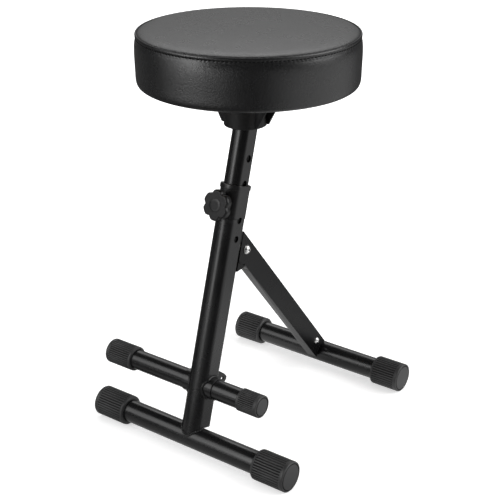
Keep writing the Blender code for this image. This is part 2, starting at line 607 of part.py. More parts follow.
for tag, side in (("left", -1), ("right", 1)):
    foot = end_cap("rear_cap_" + tag, CAP_R, BAR_R, REAR_CAP_LEN, side * REAR_HALF, side, brace_frame, rear)
    boolean(foot, floor_tool)
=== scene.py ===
import math

import bmesh
import bpy
import numpy as np
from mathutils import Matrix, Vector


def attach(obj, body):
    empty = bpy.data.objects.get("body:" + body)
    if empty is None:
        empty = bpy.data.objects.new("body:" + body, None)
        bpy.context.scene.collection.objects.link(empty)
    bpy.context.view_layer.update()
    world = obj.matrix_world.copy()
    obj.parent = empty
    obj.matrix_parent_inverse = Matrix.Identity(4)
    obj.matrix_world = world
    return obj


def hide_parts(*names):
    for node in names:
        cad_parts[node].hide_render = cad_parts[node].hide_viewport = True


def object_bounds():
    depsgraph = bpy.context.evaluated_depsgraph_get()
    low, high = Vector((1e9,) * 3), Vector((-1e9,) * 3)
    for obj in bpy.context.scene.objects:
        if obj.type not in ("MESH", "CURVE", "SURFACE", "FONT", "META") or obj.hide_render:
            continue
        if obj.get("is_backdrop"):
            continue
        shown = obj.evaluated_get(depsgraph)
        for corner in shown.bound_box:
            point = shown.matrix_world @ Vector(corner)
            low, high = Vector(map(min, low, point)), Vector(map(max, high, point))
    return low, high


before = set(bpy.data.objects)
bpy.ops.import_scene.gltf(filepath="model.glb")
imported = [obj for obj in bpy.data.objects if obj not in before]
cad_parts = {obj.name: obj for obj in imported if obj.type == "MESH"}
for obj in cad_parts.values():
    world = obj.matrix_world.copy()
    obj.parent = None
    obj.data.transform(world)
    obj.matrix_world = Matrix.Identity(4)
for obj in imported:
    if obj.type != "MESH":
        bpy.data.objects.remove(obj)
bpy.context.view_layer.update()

# Front cross bar: 32 mm welded steel tube in black powder coat, the base that the leg is welded to.
# It is sawn square at both ends, which sit inside the rubber feet.
MM = 0.001
FOOT_SPREAD = 313.3 * MM
FRONT_Y = -FOOT_SPREAD / 2
REAR_Y = FOOT_SPREAD / 2
BAR_Z = 20.8 * MM
BAR_R = 16.0 * MM
BAR_WALL = 1.5 * MM
FRONT_END = 165.0 * MM
CAP_WALL = 9.3 * MM
X_AXIS = np.array([1.0, 0.0, 0.0])
PAINT_BLACK = (0.005, 0.005, 0.0053, 1.0)
PAINT_RUBBED = (0.026, 0.026, 0.027, 1.0)
PAINT_ROUGH, PAINT_GRAIN, PAINT_BUMP = (0.22, 0.30), 1500.0, (0.1, 0.0001)
SHADE_BLACK = (0.002, 0.002, 0.002, 1.0)


def mesh_piece(name, mesh):
    """Object for a mesh: doubles merged, faces turned outwards and shaded smooth."""
    work = bmesh.new()
    work.from_mesh(mesh)
    bmesh.ops.remove_doubles(work, verts=work.verts, dist=2e-6)
    bmesh.ops.dissolve_degenerate(work, edges=work.edges, dist=1e-7)
    bmesh.ops.recalc_face_normals(work, faces=work.faces)
    work.to_mesh(mesh)
    work.free()
    mesh.shade_smooth()
    piece = bpy.data.objects.new(name, mesh)
    bpy.context.scene.collection.objects.link(piece)
    return piece


def grid_piece(name, points, closed_rows=False, edge=None, painted_shade=None):
    """Mesh over a grid of points, rows by columns: each quad joins a point to the next along its row and
    its column, and each row is a ring. Poles are merged. edge is a worn-rim value from 0 to 1 for each
    row, and the last argument a value for each point or row of painted shade, which makes the coat dark
    and dull in grooves and hidden places."""
    rows, cols = points.shape[:2]
    i, j = np.meshgrid(np.arange(rows if closed_rows else rows - 1), np.arange(cols), indexing="ij")
    i2, j2 = (i + 1) % rows, (j + 1) % cols
    quads = np.stack([i * cols + j, i * cols + j2, i2 * cols + j2, i2 * cols + j], -1).reshape(-1, 4)
    mesh = bpy.data.meshes.new(name)
    mesh.from_pydata(points.reshape(-1, 3).tolist(), [], quads.tolist())
    for label, given in (("edge", edge), ("painted_shade", painted_shade)):
        values = np.zeros((rows, cols)) + (0.0 if given is None else np.reshape(given, (rows, -1)))
        kept = mesh.attributes.new(label, "FLOAT", "POINT")
        kept.data.foreach_set("value", values.astype(np.float32).ravel())
    return mesh_piece(name, mesh)


def soft_profile(corners, steps=5):
    """Profile of (radius, height, rounding) corners as an array: each corner becomes a quadratic curve that
    starts and ends one rounding away from it, between two support points. The third column is a wear
    value that rises on the rounded corners."""
    c = np.array(corners, float)
    t = np.linspace(0.0, 1.0, steps)[:, None]
    out = []
    for k, (radius, height, size) in enumerate(c):
        here = c[k, :2]
        if size <= 0 or k in (0, len(c) - 1):
            out.append([[radius, height, 0.0]])
            continue
        before, after = c[k - 1, :2] - here, c[k + 1, :2] - here
        before *= size / np.linalg.norm(before)
        after *= size / np.linalg.norm(after)
        curve = here + (1 - t) ** 2 * before + t ** 2 * after
        support = np.append(here + 1.25 * before, 0.0), np.append(here + 1.25 * after, 0.0)
        out.append(np.vstack([support[0], np.hstack([curve, np.sin(np.pi * t)]), support[1]]))
    return np.vstack(out)


def turned_points(profile, centre, axis, steps):
    """Grid of a body of revolution: centre + axis * height + radius * (cos a * side + sin a * up)."""
    axis = np.asarray(axis, float) / np.linalg.norm(axis)
    side = np.cross(axis, [0.0, 0.0, 1.0])
    side = X_AXIS if np.linalg.norm(side) < 1e-6 else side / np.linalg.norm(side)
    up = np.cross(side, axis)
    a = np.arange(steps) * 2 * np.pi / steps
    spokes = np.cos(a)[:, None] * side + np.sin(a)[:, None] * up
    return np.asarray(centre) + profile[:, 1, None, None] * axis + profile[:, 0, None, None] * spokes


def turned(name, corners, centre, axis, steps=72, closed=False):
    """Body of revolution from rounded corners, closed on itself for a ring and else ending on the axis."""
    profile = soft_profile(corners)
    points = turned_points(profile, centre, axis, steps)
    return grid_piece(name, points, closed_rows=closed, edge=profile[:, 2])


def tube_corners(radius, wall, low, high):
    """Corners of a sawn tube's wall: outside, end, inside, end, with lightly broken edges."""
    mid = (low + high) / 2
    rim = 0.35 * MM
    return [(radius, mid, 0), (radius, high, rim), (radius - wall, high, rim), (radius - wall, mid, 0),
            (radius - wall, low, rim), (radius, low, rim), (radius, low + 3 * rim, 0)]


def node_group(name, inputs, outputs):
    """Empty shader group with named sockets, its tree and its two end nodes."""
    tree = bpy.data.node_groups.new(name, "ShaderNodeTree")
    for label, kind, value in inputs:
        socket = tree.interface.new_socket(label, in_out="INPUT", socket_type=kind)
        if value is not None:
            socket.default_value = value
    for label, kind in outputs:
        tree.interface.new_socket(label, in_out="OUTPUT", socket_type=kind)
    return tree, tree.nodes.new("NodeGroupInput"), tree.nodes.new("NodeGroupOutput")


def noise(tree, vector, scale, detail=3.0, rough=0.55):
    """Noise texture on a vector socket, with a plain or a linked scale."""
    node = tree.nodes.new("ShaderNodeTexNoise")
    node.inputs["Detail"].default_value = detail
    node.inputs["Roughness"].default_value = rough
    tree.links.new(vector, node.inputs["Vector"])
    if isinstance(scale, (int, float)):
        node.inputs["Scale"].default_value = scale
    else:
        tree.links.new(scale, node.inputs["Scale"])
    return node.outputs["Fac"]


def remap(tree, value, low, high, to_low, to_high):
    """Map Range node from one span to another, clamped."""
    node = tree.nodes.new("ShaderNodeMapRange")
    for label, number in (("From Min", low), ("From Max", high), ("To Min", to_low), ("To Max", to_high)):
        node.inputs[label].default_value = number
    tree.links.new(value, node.inputs["Value"])
    return node.outputs["Result"]


def sum_of(tree, first, second, how="ADD"):
    """Math node on two sockets or numbers."""
    node = tree.nodes.new("ShaderNodeMath")
    node.operation = how
    for slot, value in enumerate((first, second)):
        if isinstance(value, (int, float)):
            node.inputs[slot].default_value = value
        else:
            tree.links.new(value, node.inputs[slot])
    return node.outputs["Value"]


def vector_math(tree, how, vector, other=None):
    """Outputs of a Vector Math node on a vector socket, with a plain second vector where it takes one."""
    node = tree.nodes.new("ShaderNodeVectorMath")
    node.operation = how
    tree.links.new(vector, node.inputs[0])
    if other is not None:
        node.inputs[1].default_value = tuple(other)
    return node.outputs


def blend_of(tree, first, second, factor):
    """Colour mix of two plain or linked colours by a linked factor."""
    node = tree.nodes.new("ShaderNodeMix")
    node.data_type = "RGBA"
    for socket, value in ((node.inputs[6], first), (node.inputs[7], second)):
        if isinstance(value, tuple):
            socket.default_value = value
        else:
            tree.links.new(value, socket)
    tree.links.new(factor, node.inputs[0])
    return node.outputs[2]


def placed_group(tree, group, **inputs):
    """Node of a shader group in a material, with its inputs set or linked."""
    node = tree.nodes.new("ShaderNodeGroup")
    node.node_tree = group
    for label, value in inputs.items():
        if isinstance(value, (int, float)):
            node.inputs[label].default_value = value
        else:
            tree.links.new(value, node.inputs[label])
    return node


# Fine pebble of sprayed coats and moulded skins, with slow drifts of gloss over a few centimetres
grain_tree, grain_in, grain_out = node_group(
    "coat_grain", [("Vector", "NodeSocketVector", None), ("Scale", "NodeSocketFloat", 900.0)],
    [("Height", "NodeSocketFloat"), ("Drift", "NodeSocketFloat")])
pebble = noise(grain_tree, grain_in.outputs["Vector"], grain_in.outputs["Scale"], 2.0)
drift = noise(grain_tree, grain_in.outputs["Vector"], 22.0, 4.0)
grain_tree.links.new(pebble, grain_out.inputs["Height"])
grain_tree.links.new(drift, grain_out.inputs["Drift"])

# Rubbed rims: the rim value of the mesh, broken up by noise so that only parts of an edge are worn
rub_tree, rub_in, rub_out = node_group(
    "edge_rub", [("Vector", "NodeSocketVector", None), ("Edge", "NodeSocketFloat", 0.0)],
    [("Mask", "NodeSocketFloat")])
patches = remap(rub_tree, noise(rub_tree, rub_in.outputs["Vector"], 140.0, 5.0, 0.65), 0.42, 0.66, 0.0, 1.0)
rub_tree.links.new(sum_of(rub_tree, patches, rub_in.outputs["Edge"], "MULTIPLY"), rub_out.inputs["Mask"])


def new_material(name, spec=0.5, metallic=0.0):
    """Principled material with its tree, shader and Object coordinates."""
    mat = bpy.data.materials.new(name)
    mat.use_nodes = True
    shader = mat.node_tree.nodes["Principled BSDF"]
    shader.inputs["Metallic"].default_value = metallic
    shader.inputs["Specular IOR Level"].default_value = spec
    place = mat.node_tree.nodes.new("ShaderNodeTexCoord").outputs["Object"]
    return mat, mat.node_tree, shader, place


def relief(tree, shader, height, strength, depth):
    """Bump from a height socket on the shader's normal."""
    node = tree.nodes.new("ShaderNodeBump")
    node.inputs["Strength"].default_value = strength
    node.inputs["Distance"].default_value = depth
    tree.links.new(height, node.inputs["Height"])
    tree.links.new(node.outputs["Normal"], shader.inputs["Normal"])


def coated(name, base, rubbed, rough, grain_scale, bump, spec=0.5, metallic=0.0, shade_spots=()):
    """Coat with slow colour drift and rubbed rims, gloss that varies a little, and a fine pebble. Painted
    shade makes grooves and hidden places, where the mesh carries a shade value, black and without
    reflection, and so do round painted shade spots, each given as its middle, the radius of its core and
    the radius where it has faded out."""
    mat, tree, shader, place = new_material(name, spec, metallic)
    grain = placed_group(tree, grain_tree, Vector=place, Scale=grain_scale)
    rim = tree.nodes.new("ShaderNodeAttribute")
    rim.attribute_name = "edge"
    rub = placed_group(tree, rub_tree, Vector=place, Edge=rim.outputs["Fac"])
    lighter = tuple(min(1.0, 1.35 * v) for v in base[:3]) + (1.0,)
    slow = remap(tree, grain.outputs["Drift"], 0.35, 0.7, 0.0, 1.0)
    colour = blend_of(tree, blend_of(tree, base, lighter, slow), rubbed, rub.outputs["Mask"])
    # Painted shade: where the mesh's shade value is set, the colour goes to black and the coat loses its
    # reflection
    shade_attribute = tree.nodes.new("ShaderNodeAttribute")
    shade_attribute.attribute_name = "painted_shade"
    painted_dark = remap(tree, shade_attribute.outputs["Fac"], 0.1, 0.8, 0.0, 1.0)
    for spot, core, outside in shade_spots:
        gap = vector_math(tree, "DISTANCE", place, spot)["Value"]
        painted_dark = sum_of(tree, painted_dark, remap(tree, gap, core, outside, 1.0, 0.0), "MAXIMUM")
    tree.links.new(blend_of(tree, colour, SHADE_BLACK, painted_dark), shader.inputs["Base Color"])
    if not metallic:
        tree.links.new(painted_dark, shader.inputs["Metallic"])
    tree.links.new(remap(tree, grain.outputs["Drift"], 0.3, 0.72, *rough), shader.inputs["Roughness"])
    relief(tree, shader, grain.outputs["Height"], *bump)
    return mat


def dressed(piece, mat, body, slot, *stands_for):
    """Give a piece its material and body, and hide the CAD nodes that it stands for. slot is not used."""
    piece.data.materials.clear()
    piece.data.materials.append(mat)
    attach(piece, body)
    if stands_for:
        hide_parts(*stands_for)


powder_coat = coated("black_powder_coat", PAINT_BLACK, PAINT_RUBBED, PAINT_ROUGH, PAINT_GRAIN, PAINT_BUMP)
front_half = FRONT_END - CAP_WALL
front_centre = (0.0, FRONT_Y, BAR_Z)
front_wall = tube_corners(BAR_R, BAR_WALL, -front_half, front_half)
front_bar = turned("front_cross_bar", front_wall, front_centre, X_AXIS, 96, closed=True)
dressed(front_bar, powder_coat, "frame", "paint", "front_bar")

# Leg: steel tube with two pressed flats, leaning back and welded on the front bar. Its foot is coped round
# the bar in front and cut square behind; two index holes go through the flats near the top.
LEAN = math.radians(16.0)
COS_L, SIN_L = math.cos(LEAN), math.sin(LEAN)
LEG_Y = FRONT_Y - 2.3 * MM
LEG_R, LEG_FLAT, LEG_WALL = 19.1 * MM, 15.4 * MM, 1.2 * MM
LEG_TOP = 330.0 * MM
LEG_RIM = 0.25 * MM
LEG_HOLES = (LEG_TOP - 2.0 * MM, LEG_TOP - 27.5 * MM)
LEG_HOLE_R = 4.6 * MM
DRILL_LEN = 60.0 * MM
FOOTREST_ALONG = 95.3 * MM
SLEEVE_R = 15.5 * MM
FIT = 0.2 * MM
FRONT_BACK = (FRONT_Y - LEG_Y) * COS_L - BAR_Z * SIN_L
FRONT_ALONG = (FRONT_Y - LEG_Y) * SIN_L + BAR_Z * COS_L
LEG_AXIS = np.array([0.0, SIN_L, COS_L])
LEG_BACK = np.array([0.0, COS_L, -SIN_L])


def on_leg(x, back, along):
    """Points in the leg's own axes (across, back, along) carried into the shared frame."""
    x, back, along = np.broadcast_arrays(np.asarray(x, float), back, along)
    return np.stack([x, LEG_Y + back * COS_L + along * SIN_L, along * COS_L - back * SIN_L], -1)


def keyed_section(radius, flat, count=96, crisp=2.6):
    """Round section with two flats: radius(a) is the soft minimum of the circle and of flat / |cos a|.
    Columns of radius and flat give one section for each row; crisp sets how sharp the corners are."""
    a = np.arange(count) * 2 * np.pi / count
    a = a - 0.12 * np.sin(4 * a)
    reach = flat / np.maximum(np.abs(np.cos(a)), 1e-3)
    sharpness = crisp / MM
    r = radius - np.log1p(np.exp(-np.clip((reach - radius) * sharpness, -40, 40))) / sharpness
    return r * np.cos(a), r * np.sin(a)


def cut_by(piece, tools):
    """Exact difference of a piece and closed tool objects; the cut mesh replaces the old one."""
    for tool in tools:
        cut = piece.modifiers.new("cut", "BOOLEAN")
        cut.solver = "EXACT"
        cut.object = tool
    bpy.context.view_layer.update()
    done = bpy.data.meshes.new_from_object(piece.evaluated_get(bpy.context.evaluated_depsgraph_get()))
    piece.modifiers.clear()
    piece.data = done
    for tool in tools:
        bpy.data.objects.remove(tool)
    piece.data.shade_smooth()
    piece.data.set_sharp_from_angle(angle=math.radians(35.0))


def drill(centre, axis, radius, length):
    """Round cutting tool about a centre."""
    half = length / 2
    corners = [(0.0, -half, 0), (radius, -half, 0), (radius, half, 0), (0.0, half, 0)]
    return turned("drill", corners, centre, axis, 40)


up = np.linspace(0.0, 1.0, 40)
rim_in = LEG_WALL - LEG_RIM
depth = np.concatenate([0 * up, [LEG_RIM, rim_in], 0 * up + LEG_WALL, [rim_in, LEG_RIM]])
share = np.concatenate([up, [1.0, 1.0], up[::-1], [0.0, 0.0]])
on_rim = (share == 1.0) & ((depth == 0.0) | (depth == LEG_WALL))
x, back = keyed_section(LEG_R - depth[:, None], LEG_FLAT - depth[:, None])
from_bar = back - FRONT_BACK
cope = FRONT_ALONG + np.sqrt(np.maximum((BAR_R + FIT) ** 2 - from_bar ** 2, 0.0))
square_cut = np.maximum(cope, FRONT_ALONG + BAR_R + 3 * FIT)
behind = np.clip((from_bar - 1.0 * MM) / (2.0 * MM), 0.0, 1.0)
foot = cope * (1 - behind) + square_cut * behind
along = foot + share[:, None] * (LEG_TOP - foot) - LEG_RIM * on_rim[:, None]
leg = grid_piece("leg_outer_tube", on_leg(x, back, along), closed_rows=True, edge=(share == 1.0))
index_drills = [drill(on_leg(0.0, 0.0, z), X_AXIS, LEG_HOLE_R, DRILL_LEN) for z in LEG_HOLES]
sleeve_drill = drill(on_leg(0.0, 0.0, FOOTREST_ALONG), X_AXIS, SLEEVE_R + FIT, DRILL_LEN)
cut_by(leg, index_drills + [sleeve_drill])
dressed(leg, powder_coat, "frame", "paint", "leg_tube")


def bead(name, path, size, ripple, rise, closed=True):
    """Weld bead along a path: a round section whose radius swells and sinks with the puddle ripples."""
    path = np.asarray(path)
    ahead = np.roll(path, -1, 0) - np.roll(path, 1, 0)
    if not closed:
        ahead[0], ahead[-1] = path[1] - path[0], path[-1] - path[-2]
    ahead /= np.linalg.norm(ahead, axis=1)[:, None]
    side = np.cross(ahead, rise)
    side /= np.linalg.norm(side, axis=1)[:, None]
    lift = np.cross(side, ahead)
    run = np.concatenate([[0.0], np.cumsum(np.linalg.norm(np.diff(path, axis=0), axis=1))])
    swell = 1 + 0.13 * np.sin(2 * np.pi * run / ripple) + 0.08 * np.sin(2 * np.pi * run / (4.3 * ripple))
    if not closed:
        swell *= np.sqrt(np.clip(np.minimum(run, run[-1] - run) / (1.5 * size), 0.02, 1.0))
    sides = 14
    a = np.arange(sides) * 2 * np.pi / sides
    ring = np.cos(a)[:, None] * side[:, None] + np.sin(a)[:, None] * lift[:, None]
    points = path[:, None] + size * swell[:, None, None] * ring
    if not closed:
        tips = np.repeat(path[[0, -1], None], sides, 1)
        points = np.concatenate([tips[:1], points, tips[1:]])
    return grid_piece(name, points, closed_rows=closed)


WELD = 1.7 * MM
RIPPLE = 2.6 * MM
turn = np.linspace(-0.98 * np.pi, -0.02 * np.pi, 150)
back = LEG_R * np.sin(turn)
across = np.clip(LEG_R * np.cos(turn), -LEG_FLAT, LEG_FLAT)
on_bar = np.sqrt(np.maximum(BAR_R ** 2 - (back - FRONT_BACK) ** 2, 0.0))
foot_path = on_leg(across, back, FRONT_ALONG + on_bar + 0.4 * WELD)
foot_weld = bead("leg_foot_weld", foot_path, WELD, RIPPLE, LEG_AXIS, closed=False)
dressed(foot_weld, powder_coat, "frame", "paint")

# Front feet: moulded black rubber cups pushed over the bar ends, with fine lengthwise ribs, a smooth ring
# and a bullnose end round a flat disc. Each has a narrow flat below, worn by standing on the floor.
FOOT_R, FOOT_LEN = 21.3 * MM, 52.0 * MM
RIB_COUNT = 36
RIB_DEPTH = 1.1 * MM
RIB_STOP = 5.5 * MM
DISC_INSET, CREASE_DEEP = 3.4 * MM, 1.0 * MM
LIP_LEN = 4.0 * MM
RUBBER_BLACK = (0.02, 0.02, 0.0206, 1.0)
RUBBER_RUBBED = (0.044, 0.043, 0.042, 1.0)
RUBBER_ROUGH, RUBBER_GRAIN, RUBBER_BUMP, RUBBER_SPEC = (0.46, 0.56), 2200.0, (0.08, 0.0001), 0.6
rubber = coated("black_rubber", RUBBER_BLACK, RUBBER_RUBBED, RUBBER_ROUGH, RUBBER_GRAIN, RUBBER_BUMP,
                RUBBER_SPEC)


def ribbed_cup(name, radius, bore, length, end, side, centre):
    """Rubber cup along X: a turned profile whose radius sinks into narrow grooves between the ribs,
    radius - rib depth * weight(row) * (half of 1 + cos(count * angle)) squared, cut off level at the floor.
    Painted shade darkens the narrow grooves between the ribs and the crease round the end disc."""
    face, inside = radius - DISC_INSET, bore + FIT
    profile = soft_profile([(0.0, 0.25 * MM, 0), (face - 0.5 * MM, 0.1 * MM, 0.4 * MM),
                            (face, -CREASE_DEEP, 0.25 * MM), (face + 0.6 * MM, -CREASE_DEEP, 0.25 * MM),
                            (face + 1.0 * MM, -0.1 * MM, 0.4 * MM), (radius, -0.1 * MM, 1.9 * MM),
                            (radius, -RIB_STOP, 0), (radius, -RIB_STOP - 0.9 * MM, 0),
                            (radius, -length + 4.4 * MM, 0), (radius, -length + 3.6 * MM, 0),
                            (radius, -length, 0.62 * (radius - bore)), (inside, -length, 0.3 * MM),
                            (inside, -CAP_WALL, 0.5 * MM), (0.0, -CAP_WALL, 0)])
    h, r = profile[:, 1], profile[:, 0]
    ribbed = (r > radius - 0.2 * MM) & (h < -RIB_STOP - 0.5 * MM) & (h > -length + LIP_LEN)
    cols = 8 * RIB_COUNT
    points = turned_points(profile, (0.0, 0.0, 0.0), X_AXIS * side, cols)
    a = np.arange(cols) * 2 * np.pi / cols
    groove = ribbed[:, None] * (0.5 + 0.5 * np.cos(RIB_COUNT * a)) ** 2.0
    crease = (np.abs(r - face) < 1.0 * MM) & (np.abs(h + CREASE_DEEP) < 0.4 * MM)
    points[..., 1:] *= 1 - (RIB_DEPTH * groove / np.maximum(r, MM)[:, None])[..., None]
    points += np.asarray(centre) + X_AXIS * end
    points[..., 2] = np.maximum(points[..., 2], 0.0)
    worn = profile[:, 2] * (h > -length + 1.0 * MM)
    # Painted shade: partial in the rib grooves and full in the crease round the end disc
    return grid_piece(name, points, edge=worn, painted_shade=np.maximum(0.7 * groove, crease[:, None]))


SIDES = (("left", -1), ("right", 1))
for tag, side in SIDES:
    cup = ribbed_cup("front_foot_" + tag, FOOT_R, BAR_R, FOOT_LEN, side * FRONT_END, side, front_centre)
    dressed(cup, rubber, "frame", "rubber", "front_cap_" + tag)

# Footrest: a short sleeve welded through the leg holds a 28 mm steel bar, longer on the left, for one foot.
# A long ribbed rubber grip closes the left end and a slimmer one the right end.
FOOTREST_R = 14.0 * MM
SLEEVE_HALF = 25.0 * MM
FOOTREST_LEFT, FOOTREST_RIGHT = -165.0 * MM, 101.0 * MM
footrest = on_leg(0.0, 0.0, FOOTREST_ALONG)
sleeve_wall = tube_corners(SLEEVE_R, SLEEVE_R - FOOTREST_R - 0.15 * MM, -SLEEVE_HALF, SLEEVE_HALF)
sleeve = turned("footrest_weld_sleeve", sleeve_wall, footrest, X_AXIS, 96, closed=True)
dressed(sleeve, powder_coat, "frame", "paint", "footrest_sleeve")
rest_wall = tube_corners(FOOTREST_R, BAR_WALL, FOOTREST_LEFT + CAP_WALL, FOOTREST_RIGHT - CAP_WALL)
rest_bar = turned("footrest_tube", rest_wall, footrest, X_AXIS, 96, closed=True)
dressed(rest_bar, powder_coat, "frame", "paint", "footrest_bar")
turn = np.arange(120) * 2 * np.pi / 120
back = (SLEEVE_R + 0.3 * WELD) * np.cos(turn)
along = FOOTREST_ALONG + (SLEEVE_R + 0.3 * WELD) * np.sin(turn)
across = np.minimum(LEG_FLAT, np.sqrt(LEG_R ** 2 - np.minimum(np.abs(back), LEG_R) ** 2)) + 0.2 * WELD
for tag, side in SIDES:
    ring_weld = bead("sleeve_weld_" + tag, on_leg(side * across, back, along), WELD, RIPPLE, X_AXIS)
    dressed(ring_weld, powder_coat, "frame", "paint")
for tag, side, end, wide, long in (("left", -1, FOOTREST_LEFT, 3.6 * MM, 46.0 * MM),
                                   ("right", 1, FOOTREST_RIGHT, 1.7 * MM, 34.0 * MM)):
    cup = ribbed_cup("footrest_grip_" + tag, FOOTREST_R + wide, FOOTREST_R, long, end, side, footrest)
    dressed(cup, rubber, "frame", "rubber", "footrest_cap_" + tag)

# Collar: black moulded guide bush pressed on the top of the leg, with a lip above and a round boss in front.
# The post slides through its keyed bore; a threaded insert in the boss takes the clamp screw.
COLLAR_R, COLLAR_FLAT, LIP_R = 19.8 * MM, 16.4 * MM, 20.8 * MM
COLLAR_TOP = LEG_TOP + 45.0 * MM
COLLAR_LOW = LEG_TOP + 0.3 * MM
LIP_LOW = COLLAR_TOP - 6.5 * MM
POST_R, POST_FLAT, POST_WALL = 16.4 * MM, 13.8 * MM, 1.5 * MM
KNOB_ALONG = LEG_TOP + 16.5 * MM
BOSS_R, BOSS_END, INSERT_R, INSERT_BORE = 9.0 * MM, 26.5 * MM, 6.2 * MM, 4.2 * MM
PLASTIC_BLACK = (0.008, 0.008, 0.0083, 1.0)
PLASTIC_RUBBED = (0.026, 0.026, 0.027, 1.0)
ZINC = (0.8, 0.8, 0.79, 1.0)
ZINC_BRIGHT = (0.9, 0.9, 0.89, 1.0)
PLASTIC_ROUGH, PLASTIC_GRAIN, PLASTIC_BUMP = (0.26, 0.34), 1900.0, (0.12, 0.0001)
plastic = coated("black_plastic", PLASTIC_BLACK, PLASTIC_RUBBED, PLASTIC_ROUGH, PLASTIC_GRAIN, PLASTIC_BUMP)
ZINC_ROUGH, ZINC_GRAIN, ZINC_BUMP = (0.2, 0.34), 2600.0, (0.1, 0.00008)
zinc = coated("zinc_plate", ZINC, ZINC_BRIGHT, ZINC_ROUGH, ZINC_GRAIN, ZINC_BUMP, metallic=1.0)
collar_rim = soft_profile([(COLLAR_R, LIP_LOW - 20 * MM, 0), (COLLAR_R, LIP_LOW - 0.2 * MM, 0.3 * MM),
                           (LIP_R, LIP_LOW, 0.4 * MM), (LIP_R, COLLAR_TOP, 1.2 * MM),
                           (POST_R + FIT, COLLAR_TOP, 0.6 * MM), (POST_R + FIT, COLLAR_LOW, 0.4 * MM),
                           (COLLAR_R, COLLAR_LOW, 0.6 * MM)])
collar_r, collar_along, collar_wear = collar_rim.T[:, :, None]
draft = (COLLAR_FLAT - POST_FLAT - FIT) / (COLLAR_R - POST_R - FIT)
x, back = keyed_section(collar_r, POST_FLAT + FIT + (collar_r - POST_R - FIT) * draft, 128, 1.5)
collar = grid_piece("collar_guide", on_leg(x, back, collar_along), closed_rows=True, edge=collar_wear)
cut_by(collar, [drill(on_leg(0.0, 0.0, LEG_HOLES[0]), X_AXIS, LEG_HOLE_R, DRILL_LEN)])
boss_seat = on_leg(0.0, 0.0, KNOB_ALONG)
insert_low, insert_high = POST_R + 1.0 * MM, BOSS_END - 0.2 * MM
boss_wall = [(BOSS_R + 1.6 * MM, COLLAR_R - 2.6 * MM, 0), (BOSS_R, COLLAR_R + 1.0 * MM, 0.9 * MM),
             (BOSS_R, BOSS_END, 0.8 * MM), (INSERT_R + FIT, BOSS_END, 0.4 * MM),
             (INSERT_R + FIT, insert_low, 0)]
collar_boss = turned("collar_screw_boss", boss_wall, boss_seat, -LEG_BACK, 64, closed=True)
dressed(collar, plastic, "frame", "plastic", "collar_bush")
dressed(collar_boss, plastic, "frame", "plastic")
insert_wall = [(INSERT_R, insert_high, 0.4 * MM), (INSERT_BORE, insert_high, 0.5 * MM),
               (INSERT_BORE, insert_low, 0.3 * MM), (INSERT_R, insert_low, 0.3 * MM)]
insert = turned("collar_thread_insert", insert_wall, boss_seat, -LEG_BACK, 48, closed=True)
dressed(insert, zinc, "frame", "zinc", "clamp_insert")

# Post: steel tube with two flats that telescopes in the leg, with a row of index holes through the flats.
# Painted shade darkens it behind the holes of the leg, so that these holes look dark inside, and a moulded
# plug closes its lower end.
POST_LOW, POST_TOP = LEG_TOP - 140.0 * MM, LEG_TOP + 148.0 * MM
HOLE_TOP, HOLE_PITCH, HOLE_R, HOLE_COUNT = LEG_TOP + 81.0 * MM, 34.0 * MM, 5.0 * MM, 6
SHADE_SPOT_CORE, SHADE_SPOT_OUT = 5.8 * MM, 7.2 * MM
post_wall = soft_profile(tube_corners(POST_R, POST_WALL, POST_LOW, POST_TOP))
post_r, post_along, post_wear = post_wall.T[:, :, None]
x, back = keyed_section(post_r, post_r - POST_R + POST_FLAT, 128)
post = grid_piece("post_inner_tube", on_leg(x, back, post_along), closed_rows=True, edge=post_wear)
hole_spots = [on_leg(0.0, 0.0, HOLE_TOP - k * HOLE_PITCH) for k in range(HOLE_COUNT)]
cut_by(post, [drill(spot, X_AXIS, HOLE_R, DRILL_LEN) for spot in hole_spots])
# Painted shade spots on the post's flats, behind the leg's index holes
shade_spot_centres = [on_leg(side * POST_FLAT, 0.0, along) for side in (-1, 1) for along in LEG_HOLES]
shade_spots = [(spot, SHADE_SPOT_CORE, SHADE_SPOT_OUT) for spot in shade_spot_centres]
post_coat = coated("powder_coat_painted_shade", PAINT_BLACK, PAINT_RUBBED, PAINT_ROUGH, PAINT_GRAIN, PAINT_BUMP,
                   shade_spots=shade_spots)
dressed(post, post_coat, "seat", "paint", "post_tube")
plug_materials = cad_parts["post_plug"].data.materials
plug_materials.clear()
plug_materials.append(plastic)

# Clamp knob: black moulded hand knob with six broad lobes and a flat raised centre cap, on an M8 zinc stud.
# Turning it drives the stud through the collar's insert against the post.
KNOB_R, KNOB_LOBES, LOBE_DEPTH = 21.0 * MM, 6, 3.2 * MM
LOBE_IN, LOBE_SPAN = 11.0 * MM, 9.0 * MM
KNOB_TURN = math.radians(28.0)
KNOB_FACE, KNOB_BACK = 39.2 * MM, 28.2 * MM
STUD_R = 4.0 * MM
KNOB_CAP_R = 9.0 * MM
KNOB_COLS = 288
KNOB_SPEC = 0.28
knob_plastic = coated("knob_plastic", PLASTIC_BLACK, PLASTIC_RUBBED, PLASTIC_ROUGH, PLASTIC_GRAIN,
                      PLASTIC_BUMP, KNOB_SPEC)
bore, bore_end = STUD_R + 0.3 * MM, KNOB_FACE - 2.4 * MM
knob_wall = [(0.0, KNOB_FACE, 0), (KNOB_CAP_R + 1.0 * MM, KNOB_FACE, 0),
             (KNOB_R - 2.0 * MM, KNOB_FACE, 1.0 * MM), (KNOB_R, KNOB_FACE - 2.2 * MM, 1.6 * MM),
             (KNOB_R, KNOB_BACK + 1.4 * MM, 1.4 * MM), (KNOB_R - 8.0 * MM, KNOB_BACK, 0.8 * MM),
             (bore, KNOB_BACK, 0.4 * MM), (bore, bore_end, 0), (0.0, bore_end, 0)]
knob_profile = soft_profile(knob_wall, 7)
knob_points = turned_points(knob_profile, (0.0, 0.0, 0.0), -LEG_BACK, KNOB_COLS)
